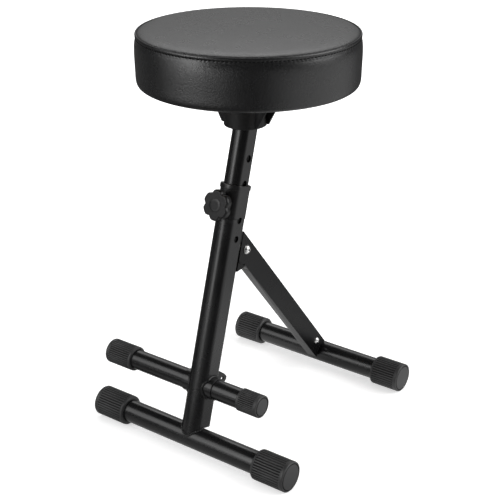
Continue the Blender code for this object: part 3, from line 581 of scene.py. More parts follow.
a = np.arange(KNOB_COLS) * 2 * np.pi / KNOB_COLS
lobe_share = np.clip((knob_profile[:, 0] - LOBE_IN) / LOBE_SPAN, 0.0, 1.0)
notch = LOBE_DEPTH * lobe_share[:, None] * (0.5 - 0.5 * np.cos(KNOB_LOBES * (a - KNOB_TURN))) ** 3
height = knob_profile[:, 1, None, None] * -LEG_BACK
lobed = 1 - notch / np.maximum(knob_profile[:, 0], MM)[:, None]
knob_points = height + (knob_points - height) * lobed[..., None]
knob = grid_piece("knob_lobed_head", knob_points + boss_seat, edge=knob_profile[:, 2] * 0.6)
dressed(knob, knob_plastic, "knob", "plastic", "knob_head")
cap_face, cap_low = KNOB_FACE + 0.6 * MM, KNOB_FACE - 0.2 * MM
cap_wall = [(0.0, cap_face, 0), (KNOB_CAP_R - 1.9 * MM, cap_face, 1.8 * MM),
            (KNOB_CAP_R, KNOB_FACE + 0.04 * MM, 0.2 * MM), (KNOB_CAP_R, cap_low, 0.1 * MM), (0.0, cap_low, 0)]
knob_cap = turned("knob_centre_cap", cap_wall, boss_seat, -LEG_BACK, 72)
dressed(knob_cap, knob_plastic, "knob", "plastic", "knob_cap")
STUD_TIP, STUD_END = 16.8 * MM, 36.4 * MM
THREAD, THREAD_DEPTH = 1.25 * MM, 0.6 * MM
crest = np.arange(STUD_TIP + 1.0 * MM, STUD_END - 3.0 * MM, THREAD / 2)
thread = [(STUD_R - THREAD_DEPTH * (k % 2), h, 0) for k, h in enumerate(crest)]
stud_tip = [(0.0, STUD_TIP, 0), (STUD_R - 0.9 * MM, STUD_TIP, 0.2 * MM)]
stud_head = [(STUD_R, STUD_END, 0.2 * MM), (0.0, STUD_END, 0)]
stud = turned("knob_screw_stud", stud_tip + thread + stud_head, boss_seat, -LEG_BACK, 48)
dressed(stud, zinc, "stud", "zinc", "knob_stud")

# Hinge bracket and eye tab: steel plates welded to the back of the leg. The folded bracket carries the
# brace's pivot pin and has a tongue that closes the mouth of the open channel; the flat tab with its
# hanging eye stops the folded brace.
PIVOT_BACK, PIVOT_ALONG = 39.0 * MM, LEG_TOP - 45.0 * MM
PIVOT_Y = LEG_Y + PIVOT_BACK * COS_L + PIVOT_ALONG * SIN_L
PIVOT_Z = PIVOT_ALONG * COS_L - PIVOT_BACK * SIN_L
BRACE_TURN = math.atan2(REAR_Y - PIVOT_Y, PIVOT_Z - BAR_Z)
BRACE_LEN = math.hypot(REAR_Y - PIVOT_Y, PIVOT_Z - BAR_Z)
SATIN_ROUGH, SATIN_SPEC = (0.24, 0.32), 0.18
satin_coat = coated("black_satin_coat", PAINT_BLACK, PAINT_RUBBED, SATIN_ROUGH, PAINT_GRAIN, PAINT_BUMP,
                    SATIN_SPEC)


def on_brace(x, ahead, along):
    """Points in the brace's own axes (across, ahead, along) carried into the shared frame."""
    x, ahead, along = np.broadcast_arrays(np.asarray(x, float), ahead, along)
    cos_t, sin_t = math.cos(BRACE_TURN), math.sin(BRACE_TURN)
    y, z = ahead * cos_t - along * sin_t, ahead * sin_t + along * cos_t
    return np.stack([x, PIVOT_Y + y, PIVOT_Z + z], -1)


def lug(name, carry, half, deep, along):
    """Small block with round edges: a superellipse section across and deep, swept along and closed at its
    ends, in the axes of carry."""
    a = np.arange(48) * 2 * np.pi / 48
    round_of = np.sign([np.cos(a), np.sin(a)]) * np.abs([np.cos(a), np.sin(a)]) ** 0.2
    size = np.array([0.0, 0.94, 1.0, 1.0, 0.94, 0.0])[:, None]
    low, high, soft = along[0], along[1], 0.3 * MM
    rise = np.array([low, low, low + soft, high - soft, high, high])[:, None]
    middle, thick = (deep[0] + deep[1]) / 2, (deep[1] - deep[0]) / 2
    piece = grid_piece(name, carry(half * size * round_of[0], middle + thick * size * round_of[1], rise))
    piece.data.set_sharp_from_angle(angle=math.radians(40.0))
    return piece


def softened(name, node, width):
    """Copy of a CAD node with its triangles merged, its flat faces joined and its sharp edges rounded."""
    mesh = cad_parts[node].data.copy()
    work = bmesh.new()
    work.from_mesh(mesh)
    bmesh.ops.remove_doubles(work, verts=work.verts, dist=1e-5)
    bmesh.ops.dissolve_limit(work, angle_limit=math.radians(0.6), verts=work.verts, edges=work.edges)
    work.to_mesh(mesh)
    work.free()
    mesh.shade_smooth()
    mesh.set_sharp_from_angle(angle=math.radians(33.0))
    mesh.attributes.new("edge", "FLOAT", "POINT")
    piece = bpy.data.objects.new(name, mesh)
    bpy.context.scene.collection.objects.link(piece)
    rounding = piece.modifiers.new("rounding", "BEVEL")
    rounding.width = width
    rounding.segments = 3
    rounding.limit_method = "ANGLE"
    rounding.angle_limit = math.radians(33.0)
    rounding.harden_normals = True
    return piece


dressed(softened("hinge_fork", "hinge_bracket", 0.5 * MM), satin_coat, "frame", "paint", "hinge_bracket")
tongue = lug("hinge_tongue", on_brace, 6.2 * MM, (-16.5 * MM, -15.1 * MM), (-29.9 * MM, -15.0 * MM))
dressed(tongue, satin_coat, "frame", "paint")
stem_along = (PIVOT_ALONG + 10 * MM, PIVOT_ALONG + 25.6 * MM)
stem = lug("hinge_stem", on_leg, 7.6 * MM, (19.6 * MM, 25.0 * MM), stem_along)
dressed(stem, satin_coat, "frame", "paint")
dressed(softened("hanging_eye", "eye_tab", 0.6 * MM), powder_coat, "frame", "paint", "eye_tab")
for name, half, low, high in (("bracket_weld", 3.5 * MM, PIVOT_ALONG - 33 * MM, PIVOT_ALONG + 20 * MM),
                              ("tab_weld", 1.6 * MM, FOOTREST_ALONG - 8 * MM, FOOTREST_ALONG + 15 * MM)):
    wide = half + 0.5 * WELD
    for tag, side in SIDES:
        path = on_leg(side * wide, math.sqrt(LEG_R ** 2 - wide ** 2), np.linspace(low, high, 60))
        plate_weld = bead(name + "_" + tag, path, 0.8 * WELD, RIPPLE, X_AXIS, closed=False)
        dressed(plate_weld, powder_coat, "frame", "paint")

# Rear brace: steel strip folded into a channel that is open behind, hinged on the bracket's pin.
# Its top is cut along the leg and rounded to swing, and its foot is coped round the rear bar.
channel = softened("brace_folded_channel", "brace_channel", 0.4 * MM)
dressed(channel, satin_coat, "rear_leg", "paint", "brace_channel")

# Pivot pin: domed zinc bolt through the brace and the bracket, with a washer on each side, a spacer tube
# inside the bracket and a hexagon nut on the left.
BRACE_HALF, PLAY = 8.0 * MM, 0.3 * MM
HEAD_X = BRACE_HALF + PLAY
WASHER, WASHER_R = 0.8 * MM, 6.4 * MM
PIN_R, PIN_HEAD_R, PIN_DOME, PIN_END = 4.0 * MM, 6.0 * MM, 3.2 * MM, -18.0 * MM
NUT_FLATS, NUT_T = 12.5 * MM, 6.0 * MM
SPACER_R, SPACER_WALL, SPACER_HALF = 6.0 * MM, 1.8 * MM, 3.9 * MM


def domed_bolt(name, pin, head, dome, seat, reach, centre):
    """Bolt along X: domed head with a round drive recess, plain shank and a chamfered tip."""
    drive = 0.42 * head
    return turned(name, [(0.0, seat + 0.45 * dome, 0), (drive, seat + 0.5 * dome, 0.2 * MM),
                         (drive, seat + 0.98 * dome, 0.25 * MM), (0.8 * head, seat + 0.66 * dome, 1.2 * MM),
                         (head, seat + 0.12 * dome, 0.5 * MM), (head, seat, 0.15 * MM), (pin, seat, 0.2 * MM),
                         (pin, reach + 1.0 * MM, 0.4 * MM), (0.7 * pin, reach, 0.3 * MM), (0.0, reach, 0)],
                  centre, X_AXIS, 64)


def hexagon_nut(name, pin, across_flats, low, high, centre):
    """Nut along X: radius(a) is the hexagon's, cut by a chamfer cone at both faces, round a plain bore."""
    a = np.arange(120) * 2 * np.pi / 120
    flat = across_flats / 2 / np.cos((a + np.pi / 6) % (np.pi / 3) - np.pi / 6)
    corner = across_flats / math.sqrt(3.0)
    chamfer = corner - np.array([1.4, 0.75, 0.0, 0.0, 0.75, 1.4])[:, None] * MM
    rows = np.minimum(flat, chamfer)
    rows = np.vstack([np.full_like(a, pin)[None], rows, np.full_like(a, pin)[None]])
    h = np.array([low, low, low + 0.35 * MM, low + 0.8 * MM, high - 0.8 * MM, high - 0.35 * MM, high, high])
    points = np.stack([np.broadcast_to(h[:, None], rows.shape), rows * np.cos(a), rows * np.sin(a)], -1)
    nut = grid_piece(name, points + centre, closed_rows=True)
    nut.data.set_sharp_from_angle(angle=math.radians(25.0))
    return nut


pivot = on_brace(0.0, 0.0, 0.0)
washer_bore = PIN_R + 0.2 * MM
for tag, low in (("right", HEAD_X), ("left", -HEAD_X - WASHER)):
    high = low + WASHER
    washer_wall = [(WASHER_R, low, 0.25 * MM), (WASHER_R, high, 0.3 * MM), (washer_bore, high, 0.2 * MM),
                   (washer_bore, low, 0.2 * MM), (WASHER_R - 1 * MM, low, 0)]
    washer = turned("pivot_plain_washer_" + tag, washer_wall, pivot, X_AXIS, 64, closed=True)
    dressed(washer, zinc, "frame", "zinc", "pivot_washer_" + tag)
pin_seat = HEAD_X + WASHER + PLAY
pin = domed_bolt("pivot_domed_bolt", PIN_R, PIN_HEAD_R, PIN_DOME, pin_seat, PIN_END, pivot)
dressed(pin, zinc, "frame", "zinc", "pivot_bolt")
nut_x = -HEAD_X - WASHER - PLAY
pivot_nut = hexagon_nut("pivot_hexagon_nut", PIN_R + 0.15 * MM, NUT_FLATS, nut_x - NUT_T, nut_x, pivot)
dressed(pivot_nut, zinc, "frame", "zinc", "pivot_nut")
spacer_wall = tube_corners(SPACER_R, SPACER_WALL, -SPACER_HALF, SPACER_HALF)
spacer = turned("pivot_spacer_tube", spacer_wall, pivot, X_AXIS, 48, closed=True)
dressed(spacer, zinc, "frame", "zinc", "pivot_spacer")

# Rear cross bar: 32 mm tube like the front one, with a square stub welded on it that stands inside the
# channel. One small domed bolt with a nut holds the stub, and ribbed rubber feet close the ends.
REAR_END, REAR_FOOT_LEN = 150.4 * MM, 46.0 * MM
BOLT_UP, BOLT_SIDE = 35.0 * MM, 1.8 * MM
BOLT_R, BOLT_HEAD_R, BOLT_DOME, BOLT_END = 3.0 * MM, 5.2 * MM, 3.4 * MM, -13.5 * MM
FOOT_NUT_BORE, FOOT_NUT_FLATS, FOOT_NUT_T = 3.1 * MM, 10.0 * MM, 4.5 * MM
rear_half = REAR_END - CAP_WALL
rear_centre = (0.0, REAR_Y, BAR_Z)
rear_wall = tube_corners(BAR_R, BAR_WALL, -rear_half, rear_half)
rear_bar = turned("rear_cross_bar", rear_wall, rear_centre, X_AXIS, 96, closed=True)
dressed(rear_bar, powder_coat, "rear_leg", "paint", "rear_bar")
dressed(softened("rear_square_stub", "rear_stub", 0.8 * MM), powder_coat, "rear_leg", "paint", "rear_stub")
foot_spot = on_brace(0.0, BOLT_SIDE, BOLT_UP - BRACE_LEN)
foot_bolt = domed_bolt("foot_domed_bolt", BOLT_R, BOLT_HEAD_R, BOLT_DOME, HEAD_X, BOLT_END, foot_spot)
dressed(foot_bolt, zinc, "rear_leg", "zinc", "foot_bolt")
nut_low = -HEAD_X - FOOT_NUT_T
foot_nut = hexagon_nut("foot_hexagon_nut", FOOT_NUT_BORE, FOOT_NUT_FLATS, nut_low, -HEAD_X, foot_spot)
dressed(foot_nut, zinc, "rear_leg", "zinc", "foot_nut")
for tag, side in SIDES:
    cup = ribbed_cup("rear_foot_" + tag, FOOT_R, BAR_R, REAR_FOOT_LEN, side * REAR_END, side, rear_centre)
    dressed(cup, rubber, "rear_leg", "rubber", "rear_cap_" + tag)

# Seat hub: black moulding with a round plate, a barrel with a leaning keyed socket for the post, and four
# gusset ribs. Four zinc screws hold its plate against the board.
SEAT_LOW = POST_TOP + 14.7 * MM
HUB_LOW = SEAT_LOW - 55.2 * MM
HUB_Y = LEG_Y + HUB_LOW * math.tan(LEAN) - 1.15 * MM
HUB_R, HUB_PLATE_R, PLATE_T = 28.5 * MM, 66.0 * MM, 4.2 * MM
RIB_SIDE, RIB_HALF, RIB_ROUND, RIB_SLOPE = 12.0 * MM, 1.5 * MM, 0.5 * MM, 0.56
SOCKET_DEPTH = 80.0 * MM
SCREW_RING = 50.0 * MM
UP = np.array([0.0, 0.0, 1.0])
MATT_ROUGH, MATT_SPEC = (0.38, 0.48), 0.26
matt_plastic = coated("matt_plastic", PLASTIC_BLACK, PLASTIC_RUBBED, MATT_ROUGH, PLASTIC_GRAIN, PLASTIC_BUMP,
                      MATT_SPEC)
plate_low = SEAT_LOW - PLATE_T
hub_centre = np.array([0.0, HUB_Y, 0.0])
hub_wall = [(0.0, SEAT_LOW, 0), (HUB_PLATE_R, SEAT_LOW, 0.4 * MM), (HUB_PLATE_R, plate_low, 0.9 * MM),
            (HUB_R + 0.9 * MM, plate_low, 2.6 * MM), (HUB_R + 0.2 * MM, HUB_LOW + 5.0 * MM, 0.3 * MM),
            (HUB_R, HUB_LOW + 4.6 * MM, 0.2 * MM), (HUB_R, HUB_LOW, 1.1 * MM), (0.0, HUB_LOW, 0)]
hub = turned("seat_hub_moulding", hub_wall, hub_centre, UP, 144)
x, back = keyed_section(POST_R + FIT, POST_FLAT + FIT, 128)
socket_low, socket_end = POST_TOP - SOCKET_DEPTH, POST_TOP + FIT
socket_rows = np.array([socket_low, socket_low, socket_end, socket_end])[:, None]
size = np.array([0.0, 1.0, 1.0, 0.0])[:, None]
cut_by(hub, [grid_piece("hub_socket_tool", on_leg(x * size, back * size, socket_rows))])
dressed(hub, matt_plastic, "seat", "plastic", "seat_hub")


def rib_points(outline, half, rounding, turn, offset, centre):
    """Upright gusset: its outline in (reach, height), drawn in towards the middle at both faces, so that
    the edges are round: six copies across the thickness, the outer ones smaller by the rounding."""
    o = np.array(outline)
    inward = o.mean(0) - o
    inward /= np.linalg.norm(inward, axis=1)[:, None]
    shrink = np.array([1.0, 0.3, 0.0, 0.0, 0.3, 1.0])[:, None, None] * rounding
    across = half * np.array([-1.0, -1.0, -1.0, 1.0, 1.0, 1.0])
    across += rounding * np.array([0.0, 0.3, 0.7, -0.7, -0.3, 0.0])
    flat = o + shrink * inward
    middle = np.repeat(o.mean(0)[None, None], len(o), 1)
    flat = np.concatenate([middle, flat, middle])
    across = offset + np.concatenate([across[:1], across, across[-1:]])[:, None]
    reach, height = flat[..., 0], flat[..., 1]
    cos_t, sin_t = math.cos(turn), math.sin(turn)
    return np.stack([reach * cos_t - across * sin_t, reach * sin_t + across * cos_t, height], -1) + centre


rib_low, rib_high = HUB_LOW + 2.0 * MM, plate_low - 3.0 * MM
rib_foot = HUB_R + 0.6 * MM
rib_head = rib_foot + RIB_SLOPE * (rib_high - rib_low)
rib_root, rib_top = HUB_R - 8.0 * MM, plate_low + 0.6 * MM
rib_outline = [(rib_root, rib_low), (rib_foot, rib_low), (rib_head, rib_high), (rib_head, rib_top),
               (rib_root, rib_top)]
screw_wall = [(0.0, -1.6 * MM, 0), (1.1 * MM, -1.6 * MM, 0.2 * MM), (1.3 * MM, -2.6 * MM, 0.3 * MM),
              (3.2 * MM, -2.3 * MM, 1.0 * MM), (4.2 * MM, -0.9 * MM, 0.6 * MM),
              (4.2 * MM, -0.3 * MM, 0.1 * MM), (2.0 * MM, -0.3 * MM, 0.1 * MM),
              (2.0 * MM, PLATE_T + 5.0 * MM, 0.3 * MM), (0.0, PLATE_T + 7.0 * MM, 0)]
for k in range(4):
    turn, offset = np.pi * (k // 2), RIB_SIDE * (1 - 2 * (k % 2))
    rib_shape = rib_points(rib_outline, RIB_HALF, RIB_ROUND, turn, offset, hub_centre)
    rib = grid_piece("hub_rib_%d" % (k + 1), rib_shape)
    rib.data.set_sharp_from_angle(angle=math.radians(40.0))
    dressed(rib, matt_plastic, "seat", "plastic")
    angle = np.pi / 4 + k * np.pi / 2
    spot = (SCREW_RING * math.cos(angle), HUB_Y + SCREW_RING * math.sin(angle), plate_low)
    screw = turned("hub_pan_screw_%d" % (k + 1), screw_wall, spot, UP, 32)
    dressed(screw, zinc, "seat", "zinc", "hub_screw_%d" % (k + 1))

# Seat board: round of raw plywood that the foam and the cover are stretched over, screwed to the hub.
# The plies show at its sawn edge and the face veneer below.
SEAT_R = 146.5 * MM
SEAT_Y = HUB_Y + 6.8 * MM
BOARD_R, BOARD_T = SEAT_R - 15.0 * MM, 8.7 * MM
PLY_LIGHT = (0.52, 0.36, 0.2, 1.0)
PLY_DARK = (0.3, 0.18, 0.09, 1.0)
PLY_COUNT = 5
PLY_STRETCH = (9.0, 110.0, 9.0)
seat_centre = (0.0, SEAT_Y, 0.0)


def parts_of(tree, vector):
    """Outputs X, Y and Z of a vector socket."""
    node = tree.nodes.new("ShaderNodeSeparateXYZ")
    tree.links.new(vector, node.inputs["Vector"])
    return node.outputs


plywood, tree, shader, place = new_material("raw_plywood", 0.3)
stretch = tree.nodes.new("ShaderNodeMapping")
stretch.inputs["Scale"].default_value = PLY_STRETCH
tree.links.new(place, stretch.inputs["Vector"])
figure = noise(tree, stretch.outputs["Vector"], 1.0, 6.0, 0.6)
ply_turn = sum_of(tree, parts_of(tree, place)["Z"], 2 * np.pi * PLY_COUNT / (2 * BOARD_T), "MULTIPLY")
plies = remap(tree, sum_of(tree, ply_turn, 0.0, "SINE"), -0.4, 0.4, 0.0, 0.45)
streak = sum_of(tree, remap(tree, figure, 0.36, 0.68, 0.0, 0.7), plies)
tree.links.new(blend_of(tree, PLY_LIGHT, PLY_DARK, streak), shader.inputs["Base Color"])
tree.links.new(remap(tree, figure, 0.3, 0.7, 0.62, 0.8), shader.inputs["Roughness"])
relief(tree, shader, figure, 0.2, 0.0003)
board_low = SEAT_LOW + 0.3 * MM
board_top = board_low + BOARD_T
board_wall = [(0.0, board_top, 0), (BOARD_R, board_top, 0.8 * MM), (BOARD_R, board_low, 0.8 * MM),
              (0.0, board_low, 0)]
board = turned("seat_plywood_board", board_wall, seat_centre, UP, 160)
dressed(board, plywood, "seat", "board", "seat_board")

# Seat cushion: foam on the board under a black leatherette cover. A round top panel is sewn to a side
# band with a rolled, topstitched edge; the foam swells both panels between the seams.
EDGE_Z = SEAT_LOW + 67.2 * MM
CROWN, TOP_SWELL, SWELL_SHARE = 4.9 * MM, 2.7 * MM, 0.07
SEAM_R = SEAT_R - 4.0 * MM
SEAM_DIP = 1.4 * MM
STITCH_Z, STITCH_R = EDGE_Z - 4.6 * MM, SEAT_R - 2.4 * MM
COLS = 320
COVER_BLACK = (0.006, 0.006, 0.0063, 1.0)
COVER_LIGHT = (0.011, 0.011, 0.0114, 1.0)
COVER_SPEC, HIDE_SCALE, COAT_SCALE = 0.62, 520.0, 900.0
PUCKER, PULL_NEAR, PULL_FAR = 0.9, 0.4 * MM, 3.2 * MM


def through(points, per_span):
    """Smooth line through points: a Catmull-Rom cubic on each span, with the ends doubled."""
    p = np.array(points)
    p = np.vstack([2 * p[0] - p[1], p, 2 * p[-1] - p[-2]])
    t = (np.arange(per_span) / per_span)[:, None]
    a, b, c, d = (p[k:len(p) - 3 + k, None] for k in range(4))
    square, cube = 2 * a - 5 * b + 4 * c - d, 3 * b - a - 3 * c + d
    line = 0.5 * (2 * b + (c - a) * t + square * t ** 2 + cube * t ** 3)
    return np.vstack([line.reshape(-1, p.shape[1]), p[-2]])


recess_z = SEAT_LOW + BOARD_T + 0.9 * MM
recess_r = BOARD_R + 0.4 * MM
under = np.array([(0.0, recess_z), (0.5 * recess_r, recess_z), (recess_r - 1 * MM, recess_z),
                  (recess_r, recess_z - 1 * MM), (recess_r, SEAT_LOW + 1.2 * MM)])
low_band = MM * np.array([(-8.0, 0.1), (-4.4, 0.9), (-1.9, 3.8), (-0.9, 9.0), (-0.6, 20.0), (-0.2, 34.0)])
high_band = MM * np.array([(-0.1, -22.0), (-0.4, -15.0), (-1.0, -10.5), (-1.7, -7.4)])
rolled = MM * np.array([(-1.7, -3.6), (-1.3, -2.2), (-1.5, -0.9), (-2.3, 0.0)])
dip = np.array([(0.8 * MM, 0.1 * MM), (0.2 * MM, -0.5 * MM), (0.0, -SEAM_DIP)])
band = through(np.vstack([(recess_r + 1.2 * MM, SEAT_LOW + 0.1 * MM), (SEAT_R, SEAT_LOW) + low_band,
                          (SEAT_R, EDGE_Z) + high_band, (STITCH_R, STITCH_Z)]), 4)
roll = through(np.vstack([(STITCH_R, STITCH_Z), (SEAT_R, EDGE_Z) + rolled, (SEAM_R, EDGE_Z) + dip]), 4)
share = np.concatenate([[1.0, 0.9985, 0.996, 0.991, 0.984, 0.974, 0.96], np.linspace(0.94, 0.0, 36)])
swell = np.sqrt(1 - (1 - np.clip((1 - share) / SWELL_SHARE, 0, 1)) ** 2)
top_z = EDGE_Z - SEAM_DIP + TOP_SWELL * swell + CROWN * (1 - share ** 2)
top = np.stack([SEAM_R * share, top_z], -1)
cover = np.vstack([under, band, roll[1:], top[1:]])
row_index = np.arange(len(cover))
stitch_row = len(under) + len(band) - 1
on_seam = np.isin(row_index, [stitch_row, stitch_row + len(roll) - 1])
held_rows = on_seam | (row_index < len(under) + 3)
cushion = grid_piece("seat_padded_cover", turned_points(cover, seat_centre, UP, COLS), edge=1.0 * on_seam)


def swollen(piece, profile, held, pressure, frames, cap, uneven):
    """Cloth run on the closed cover: even pressure from the foam pushes it out between the held rows.
    Each point moves by its row's mean plus a share uneven of its own difference, by at most cap in all.
    The finished shape replaces the mesh and no cloth stays on the piece."""
    count = len(piece.data.vertices)
    rest = np.empty(count * 3)
    piece.data.vertices.foreach_get("co", rest)
    rest = rest.reshape(-1, 3)
    r = np.hypot(rest[:, 0], rest[:, 1] - SEAT_Y)
    row = np.hypot(r[:, None] - profile[:, 0], rest[:, 2, None] - profile[:, 1]).argmin(1)
    group = piece.vertex_groups.new(name="held")
    group.add(np.flatnonzero(held[row]).tolist(), 1.0, "REPLACE")
    cloth = piece.modifiers.new("cloth", "CLOTH")
    cloth.settings.quality = 6
    cloth.settings.mass = 0.25
    cloth.settings.tension_stiffness = 60.0
    cloth.settings.compression_stiffness = 40.0
    cloth.settings.shear_stiffness = 20.0
    cloth.settings.bending_stiffness = 30.0
    cloth.settings.use_pressure = True
    cloth.settings.uniform_pressure_force = pressure
    cloth.settings.vertex_group_mass = "held"
    cloth.settings.effector_weights.gravity = 0.0
    cloth.collision_settings.use_collision = False
    for step in range(1, frames + 1):
        bpy.context.scene.frame_set(step)
    moved = np.empty(count * 3)
    shown = piece.evaluated_get(bpy.context.evaluated_depsgraph_get())
    shown.data.vertices.foreach_get("co", moved)
    moved = moved.reshape(-1, 3) - rest
    outward = np.stack([rest[:, 0], rest[:, 1] - SEAT_Y], -1) / np.maximum(r, MM)[:, None]
    moved = np.stack([(moved[:, :2] * outward).sum(1), moved[:, 2]], -1)
    count_in = np.maximum(np.bincount(row, minlength=len(profile)), 1)
    mean = np.stack([np.bincount(row, moved[:, k], len(profile)) / count_in for k in (0, 1)], -1)[row]
    moved = mean + uneven * (moved - mean)
    reach = np.linalg.norm(moved, axis=1, keepdims=True)
    moved *= cap * np.tanh(reach / cap) / np.maximum(reach, 1e-9)
    piece.modifiers.remove(cloth)
    piece.vertex_groups.clear()
    bpy.context.scene.frame_set(1)
    rest[:, :2] += outward * moved[:, :1]
    rest[:, 2] += moved[:, 1]
    piece.data.vertices.foreach_set("co", rest.ravel())
    piece.data.update()
    print("cushion swells by up to %.2f mm" % (1000 * np.linalg.norm(moved, axis=1).max()))


swollen(cushion, cover, held_rows, pressure=4.0, frames=12, cap=0.5 * MM, uneven=0.15)
STITCH_PITCH, STITCH_LEN, THREAD_R = 5.2 * MM, 3.6 * MM, 0.65 * MM
stitch_count = int(2 * np.pi * STITCH_R / STITCH_PITCH)

# Grain of embossed leatherette: small rounded cells between fine creases, over a finer pebble
hide_tree, hide_in, hide_out = node_group(
    "hide_grain", [("Vector", "NodeSocketVector", None), ("Scale", "NodeSocketFloat", 620.0)],
    [("Height", "NodeSocketFloat"), ("Crease", "NodeSocketFloat")])
cells = hide_tree.nodes.new("ShaderNodeTexVoronoi")
cells.feature = "DISTANCE_TO_EDGE"
cells.inputs["Randomness"].default_value = 0.95
hide_tree.links.new(hide_in.outputs["Vector"], cells.inputs["Vector"])
hide_tree.links.new(hide_in.outputs["Scale"], cells.inputs["Scale"])
crease = remap(hide_tree, cells.outputs["Distance"], 0.0, 0.22, 0.0, 1.0)
fine = noise(hide_tree, hide_in.outputs["Vector"], 430.0, 1.0)
raised = sum_of(hide_tree, crease, 0.35, "MULTIPLY")
pebble = sum_of(hide_tree, fine, 1.6, "MULTIPLY")
hide_tree.links.new(sum_of(hide_tree, raised, pebble), hide_out.inputs["Height"])
hide_tree.links.new(crease, hide_out.inputs["Crease"])

leatherette, tree, shader, place = new_material("black_leatherette", COVER_SPEC)
hide = placed_group(tree, hide_tree, Vector=place, Scale=HIDE_SCALE)
split = parts_of(tree, place)
round_seat = sum_of(tree, sum_of(tree, split["Y"], SEAT_Y, "SUBTRACT"), split["X"], "ARCTAN2")
wave = sum_of(tree, sum_of(tree, round_seat, float(stitch_count), "MULTIPLY"), 0.0, "COSINE")
off_row = sum_of(tree, sum_of(tree, split["Z"], STITCH_Z, "SUBTRACT"), 0.0, "ABSOLUTE")
pull = remap(tree, off_row, PULL_NEAR, PULL_FAR, 1.0, 0.0)
folds = noise(tree, place, 190.0, 2.0)
pucker = sum_of(tree, sum_of(tree, wave, sum_of(tree, folds, 2.4, "MULTIPLY")), pull, "MULTIPLY")
coat = placed_group(tree, grain_tree, Vector=place, Scale=COAT_SCALE)
tree.links.new(blend_of(tree, COVER_BLACK, COVER_LIGHT, hide.outputs["Crease"]), shader.inputs["Base Color"])
tree.links.new(remap(tree, coat.outputs["Drift"], 0.3, 0.7, 0.26, 0.3), shader.inputs["Roughness"])
creased = sum_of(tree, hide.outputs["Height"], sum_of(tree, pucker, PUCKER, "MULTIPLY"))
relief(tree, shader, creased, 0.45, 0.0003)
dressed(cushion, leatherette, "seat", "leatherette", "seat_cushion")

# Topstitching: one row of black polyester thread round the rolled edge, each stitch a short raised loop
# that dives into the cover at both ends.
STITCH_LIFT, STITCH_ARCH = 0.1 * MM, 0.3 * MM
THREAD_DARK = (0.003, 0.003, 0.003, 1.0)
THREAD_LIGHT = (0.008, 0.008, 0.0082, 1.0)
thread_black, tree, shader, place = new_material("black_thread", 0.15)
twist = noise(tree, place, 2600.0, 2.0)
tree.links.new(blend_of(tree, THREAD_DARK, THREAD_LIGHT, twist), shader.inputs["Base Color"])
tree.links.new(remap(tree, twist, 0.3, 0.7, 0.55, 0.75), shader.inputs["Roughness"])
relief(tree, shader, twist, 0.3, 0.0002)


def tube_faces(count, rings, sides):
    """Quads of many equal tubes: ring i of tube k starts at point (k * rings + i) * sides."""
    k, i, j = np.meshgrid(np.arange(count), np.arange(rings - 1), np.arange(sides), indexing="ij")
    first, after = (k * rings + i) * sides, (j + 1) % sides
    return np.stack([first + j, first + after, first + sides + after, first + sides + j], -1).reshape(-1, 4)


ends, sides = 7, 6
t = np.linspace(-1.0, 1.0, ends)
s = np.arange(sides) * 2 * np.pi / sides
thick = THREAD_R * np.sqrt(np.maximum(1 - t ** 4, 0.0))
turn = (np.arange(stitch_count) + 0.5)[:, None, None] * 2 * np.pi / stitch_count
turn = turn + t[:, None] * STITCH_LEN / 2 / STITCH_R
out = STITCH_R + STITCH_LIFT + (STITCH_ARCH * (1 - t ** 2))[:, None] + thick[:, None] * np.cos(s)
rise = STITCH_Z + thick[:, None] * np.sin(s) + 0 * turn
stitches = np.stack([out * np.cos(turn), SEAT_Y + out * np.sin(turn), rise], -1).reshape(-1, 3)
stitch_mesh = bpy.data.meshes.new("seat_topstitch")
stitch_mesh.from_pydata(stitches.tolist(), [], tube_faces(stitch_count, ends, sides).tolist())
topstitch = mesh_piece("seat_topstitch", stitch_mesh)
dressed(topstitch, thread_black, "seat", "leatherette")

# Turned-under cover: the leatherette's raw edge is drawn over the rim of the board in small gathers and
# stapled there, out of sight below the seat.
HEM_IN, HEM_OUT = BOARD_R - 15.0 * MM, SEAT_R - 8.0 * MM
GATHERS, HEM_T = 46, 0.7 * MM
HEM_COLS = 8 * GATHERS
a = np.arange(HEM_COLS) * 2 * np.pi / HEM_COLS
r = np.linspace(HEM_IN, HEM_OUT, 9)[:, None]
inner = (HEM_OUT - r) / (HEM_OUT - HEM_IN)
wave = 0.5 + 0.5 * np.sin(GATHERS * a + 1.1 * np.sin(5 * a))
sag = SEAT_LOW - 0.15 * MM - inner * (0.25 + 0.75 * wave ** 2) * MM
ragged = r + inner ** 3 * (1.6 * np.sin(7 * a) + 1.1 * np.sin(17 * a + 1.0)) * MM
lower = np.stack([ragged * np.cos(a), SEAT_Y + ragged * np.sin(a), sag], -1)
upper = lower[::-1] + np.array([0.0, 0.0, HEM_T]) * np.minimum(1.0, inner[::-1, :, None] + 0.2)
hem = grid_piece("cover_turned_hem", np.concatenate([lower, upper]), closed_rows=True)
dressed(hem, leatherette, "seat", "leatherette")
STAPLES, STAPLE_R, STAPLE_HALF, WIRE_R = 44, BOARD_R - 7.0 * MM, 5.0 * MM, 0.45 * MM
turn = np.arange(STAPLES) * 2 * np.pi / STAPLES + 0.03
lean = turn + 0.25 * np.sin(5 * turn)
t = np.array([-1.0, -1.0, -0.86, 0.86, 1.0, 1.0])
crown_x, crown_z = STAPLE_HALF * t, np.array([1.4, 0.2, 0.0, 0.0, 0.2, 1.4]) * MM
s = np.arange(4) * np.pi / 2 + np.pi / 4
local_x = crown_x[:, None] + WIRE_R * np.sin(s) * np.array([1, 0.7, 0, 0, -0.7, -1])[:, None]
local_y = WIRE_R * np.cos(s) + 0 * local_x
local_z = crown_z[:, None] + WIRE_R * np.sin(s) * np.array([0, 0.7, 1, 1, 0.7, 0])[:, None]
cos_l, sin_l = np.cos(lean)[:, None, None], np.sin(lean)[:, None, None]
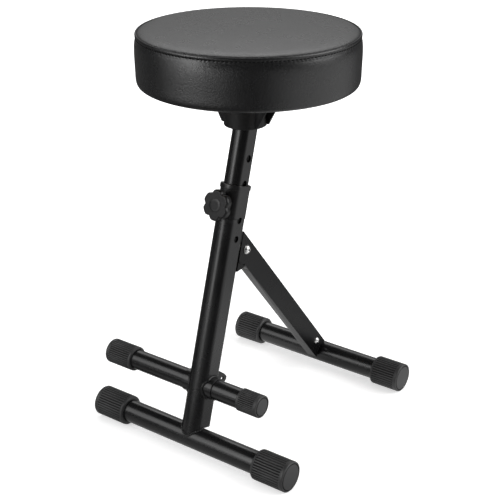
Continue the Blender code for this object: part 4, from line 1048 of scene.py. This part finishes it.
spot_x = STAPLE_R * np.cos(turn)[:, None, None] - local_x * sin_l + local_y * cos_l
spot_y = STAPLE_R * np.sin(turn)[:, None, None] + local_x * cos_l + local_y * sin_l
spot_z = SEAT_LOW - 1.45 * MM + local_z + 0 * spot_x
staple_points = np.stack([spot_x, SEAT_Y + spot_y, spot_z], -1).reshape(-1, 3)
ends, sides = len(t), len(s)
tips = np.arange(STAPLES)[:, None] * ends * sides
caps = np.concatenate([tips + np.arange(sides)[::-1], tips + (ends - 1) * sides + np.arange(sides)])
staple_mesh = bpy.data.meshes.new("cover_staples")
staple_mesh.from_pydata(staple_points.tolist(), [], tube_faces(STAPLES, ends, sides).tolist() + caps.tolist())
dressed(mesh_piece("cover_staples", staple_mesh), zinc, "seat", "zinc")

# Studio: a pale seamless floor that goes to white away from the stool, under a large soft key light from
# the front left. Glossy rays see the floor only as a painted glow: glowing cards, a glowing spot by the
# brace and more glow near the stool. They also mirror a light wall behind.
scene = bpy.context.scene
scene.view_settings.view_transform = "Standard"
FLOOR_HALF = 6.0
FLOOR_GLOW = 0.56
FLOOR_PALE = (0.82, 0.82, 0.82, 1.0)
GLOW_SPOT = (-0.11, 0.08, 0.0)
floor_mesh = bpy.data.meshes.new("studio_floor")
corners = [(FLOOR_HALF * x, FLOOR_HALF * y, 0.0) for x, y in ((-1, -1), (1, -1), (1, 1), (-1, 1))]
floor_mesh.from_pydata(corners, [], [(0, 1, 2, 3)])
floor = bpy.data.objects.new("studio_floor", floor_mesh)
scene.collection.objects.link(floor)
floor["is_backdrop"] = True
floor_white = bpy.data.materials.new("pale_floor")
floor_white.use_nodes = True
tree = floor_white.node_tree
tree.nodes.remove(tree.nodes["Principled BSDF"])
lit = tree.nodes.new("ShaderNodeBsdfDiffuse")
lit.inputs["Color"].default_value = FLOOR_PALE
glow = tree.nodes.new("ShaderNodeEmission")
ray = tree.nodes.new("ShaderNodeLightPath")
place = tree.nodes.new("ShaderNodeTexCoord").outputs["Object"]
distance = vector_math(tree, "LENGTH", place)["Value"]
bearing = vector_math(tree, "NORMALIZE", place)["Vector"]


def facing(tree, direction, heading, low, high, peak):
    """Value that rises from 0 to a peak as direction . heading goes from low to high."""
    return remap(tree, vector_math(tree, "DOT_PRODUCT", direction, heading)["Value"], low, high, 0.0, peak)


# Painted glow for glossy rays: cards to the right and front that brighten away from the stool
right_card = facing(tree, bearing, (0.94, 0.34, 0.0), 0.5, 0.96, 0.85)
front_card = facing(tree, bearing, (-0.26, -0.966, 0.0), 0.77, 0.99, 0.5)
reach = sum_of(tree, remap(tree, distance, 0.05, 0.25, 0.0, 0.72), remap(tree, distance, 0.5, 1.0, 0.0, 0.3))
right_share = sum_of(tree, right_card, reach, "MULTIPLY")
sweep = sum_of(tree, remap(tree, distance, 0.9, 1.5, 0.0, 1.0), remap(tree, distance, 1.8, 2.8, 0.0, 4.0))
cards = sum_of(tree, right_share, sum_of(tree, front_card, sweep, "MULTIPLY"))
near_share = remap(tree, distance, 0.24, 0.45, 0.42, 0.1)
# Painted glow: a glowing spot on the floor beside the brace, which the brace's web mirrors
from_glow_spot = vector_math(tree, "DISTANCE", place, GLOW_SPOT)["Value"]
glow_spot = remap(tree, from_glow_spot, 0.04, 0.13, 0.6, 0.0)
mirrored = sum_of(tree, sum_of(tree, cards, near_share), glow_spot)
plain = remap(tree, distance, 0.4, 0.9, FLOOR_GLOW, 1.0)
seen = sum_of(tree, plain, ray.outputs["Is Camera Ray"], "MULTIPLY")
tree.links.new(seen, glow.inputs["Strength"])
reflected = tree.nodes.new("ShaderNodeEmission")
tree.links.new(mirrored, reflected.inputs["Strength"])
both = tree.nodes.new("ShaderNodeAddShader")
tree.links.new(lit.outputs["BSDF"], both.inputs[0])
tree.links.new(glow.outputs["Emission"], both.inputs[1])
by_ray = tree.nodes.new("ShaderNodeMixShader")
tree.links.new(ray.outputs["Is Glossy Ray"], by_ray.inputs[0])
tree.links.new(both.outputs["Shader"], by_ray.inputs[1])
tree.links.new(reflected.outputs["Emission"], by_ray.inputs[2])
tree.links.new(by_ray.outputs["Shader"], tree.nodes["Material Output"].inputs["Surface"])
floor.data.materials.append(floor_white)


def aimed(thing, place, aim):
    """Puts a lamp or the camera at a place and turns its -Z axis towards aim, with its top upwards."""
    heading = np.array(aim) - np.array(place)
    flat_reach = math.hypot(heading[0], heading[1])
    thing.location = place
    thing.rotation_euler = (math.atan2(flat_reach, -heading[2]), 0.0, math.atan2(-heading[0], heading[1]))
    scene.collection.objects.link(thing)


def light_panel(name, place, aim, size, power, mirrored=True):
    """Rectangular soft light that faces a point, and that glossy surfaces may or may not mirror."""
    lamp = bpy.data.lights.new(name, "AREA")
    lamp.shape = "RECTANGLE"
    lamp.size, lamp.size_y = size
    lamp.energy = power
    panel = bpy.data.objects.new(name, lamp)
    panel.visible_glossy = mirrored
    aimed(panel, place, aim)


light_panel("overhead_panel", (0.0, 0.0, 2.4), (0.0, 0.0, 0.0), (3.0, 3.0), 24.0, mirrored=False)
light_panel("key_softbox", (-1.15, -1.75, 1.35), (0.0, 0.0, 0.3), (1.7, 1.4), 17.0)
light_panel("key_core", (-0.62, -1.98, 0.95), (0.0, 0.0, 0.3), (0.7, 1.6), 10.0)
scene.world = bpy.data.worlds.new("studio")
scene.world.use_nodes = True
tree = scene.world.node_tree
room = tree.nodes["Background"]
room.inputs["Color"].default_value = (1.0, 1.0, 1.0, 1.0)
ray = tree.nodes.new("ShaderNodeLightPath")
direction = tree.nodes.new("ShaderNodeTexCoord").outputs["Generated"]
split = parts_of(tree, direction)
level = tree.nodes.new("ShaderNodeCombineXYZ")
tree.links.new(split["X"], level.inputs["X"])
tree.links.new(split["Y"], level.inputs["Y"])
bearing = vector_math(tree, "NORMALIZE", level.outputs["Vector"])["Vector"]
behind = facing(tree, bearing, (-0.6, 0.8, 0.0), 0.86, 0.99, 1.0)
climb = remap(tree, split["Z"], 0.2, 0.58, 0.0, 1.48)
lower = sum_of(tree, sum_of(tree, climb, climb, "MULTIPLY"), 0.25)
upper = remap(tree, split["Z"], 0.62, 0.76, 1.0, 0.0)
wall = sum_of(tree, sum_of(tree, behind, lower, "MULTIPLY"), upper, "MULTIPLY")
fill = facing(tree, direction, (0.755, 0.433, 0.492), 0.84, 0.96, 4.0)
dim = sum_of(tree, sum_of(tree, wall, fill), 0.05)
unseen = sum_of(tree, 1.0, ray.outputs["Is Camera Ray"], "SUBTRACT")
strength = sum_of(tree, sum_of(tree, dim, unseen, "MULTIPLY"), ray.outputs["Is Camera Ray"])
tree.links.new(strength, room.inputs["Strength"])

# Camera: the photograph's view, from the front right and a little above, with a long lens. Its place and
# aim were solved from the photo's circles and straight bars.
EYE = (0.89285, -1.22006, 0.89944)
AIM = (0.02623, -0.05965, 0.27293)
lens = bpy.data.cameras.new("photo_camera")
lens.sensor_width = 36.0
lens.lens = 84.87
lens.clip_start, lens.clip_end = 0.05, 30.0
camera = bpy.data.objects.new("photo_camera", lens)
aimed(camera, EYE, AIM)
scene.camera = camera

low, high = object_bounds()
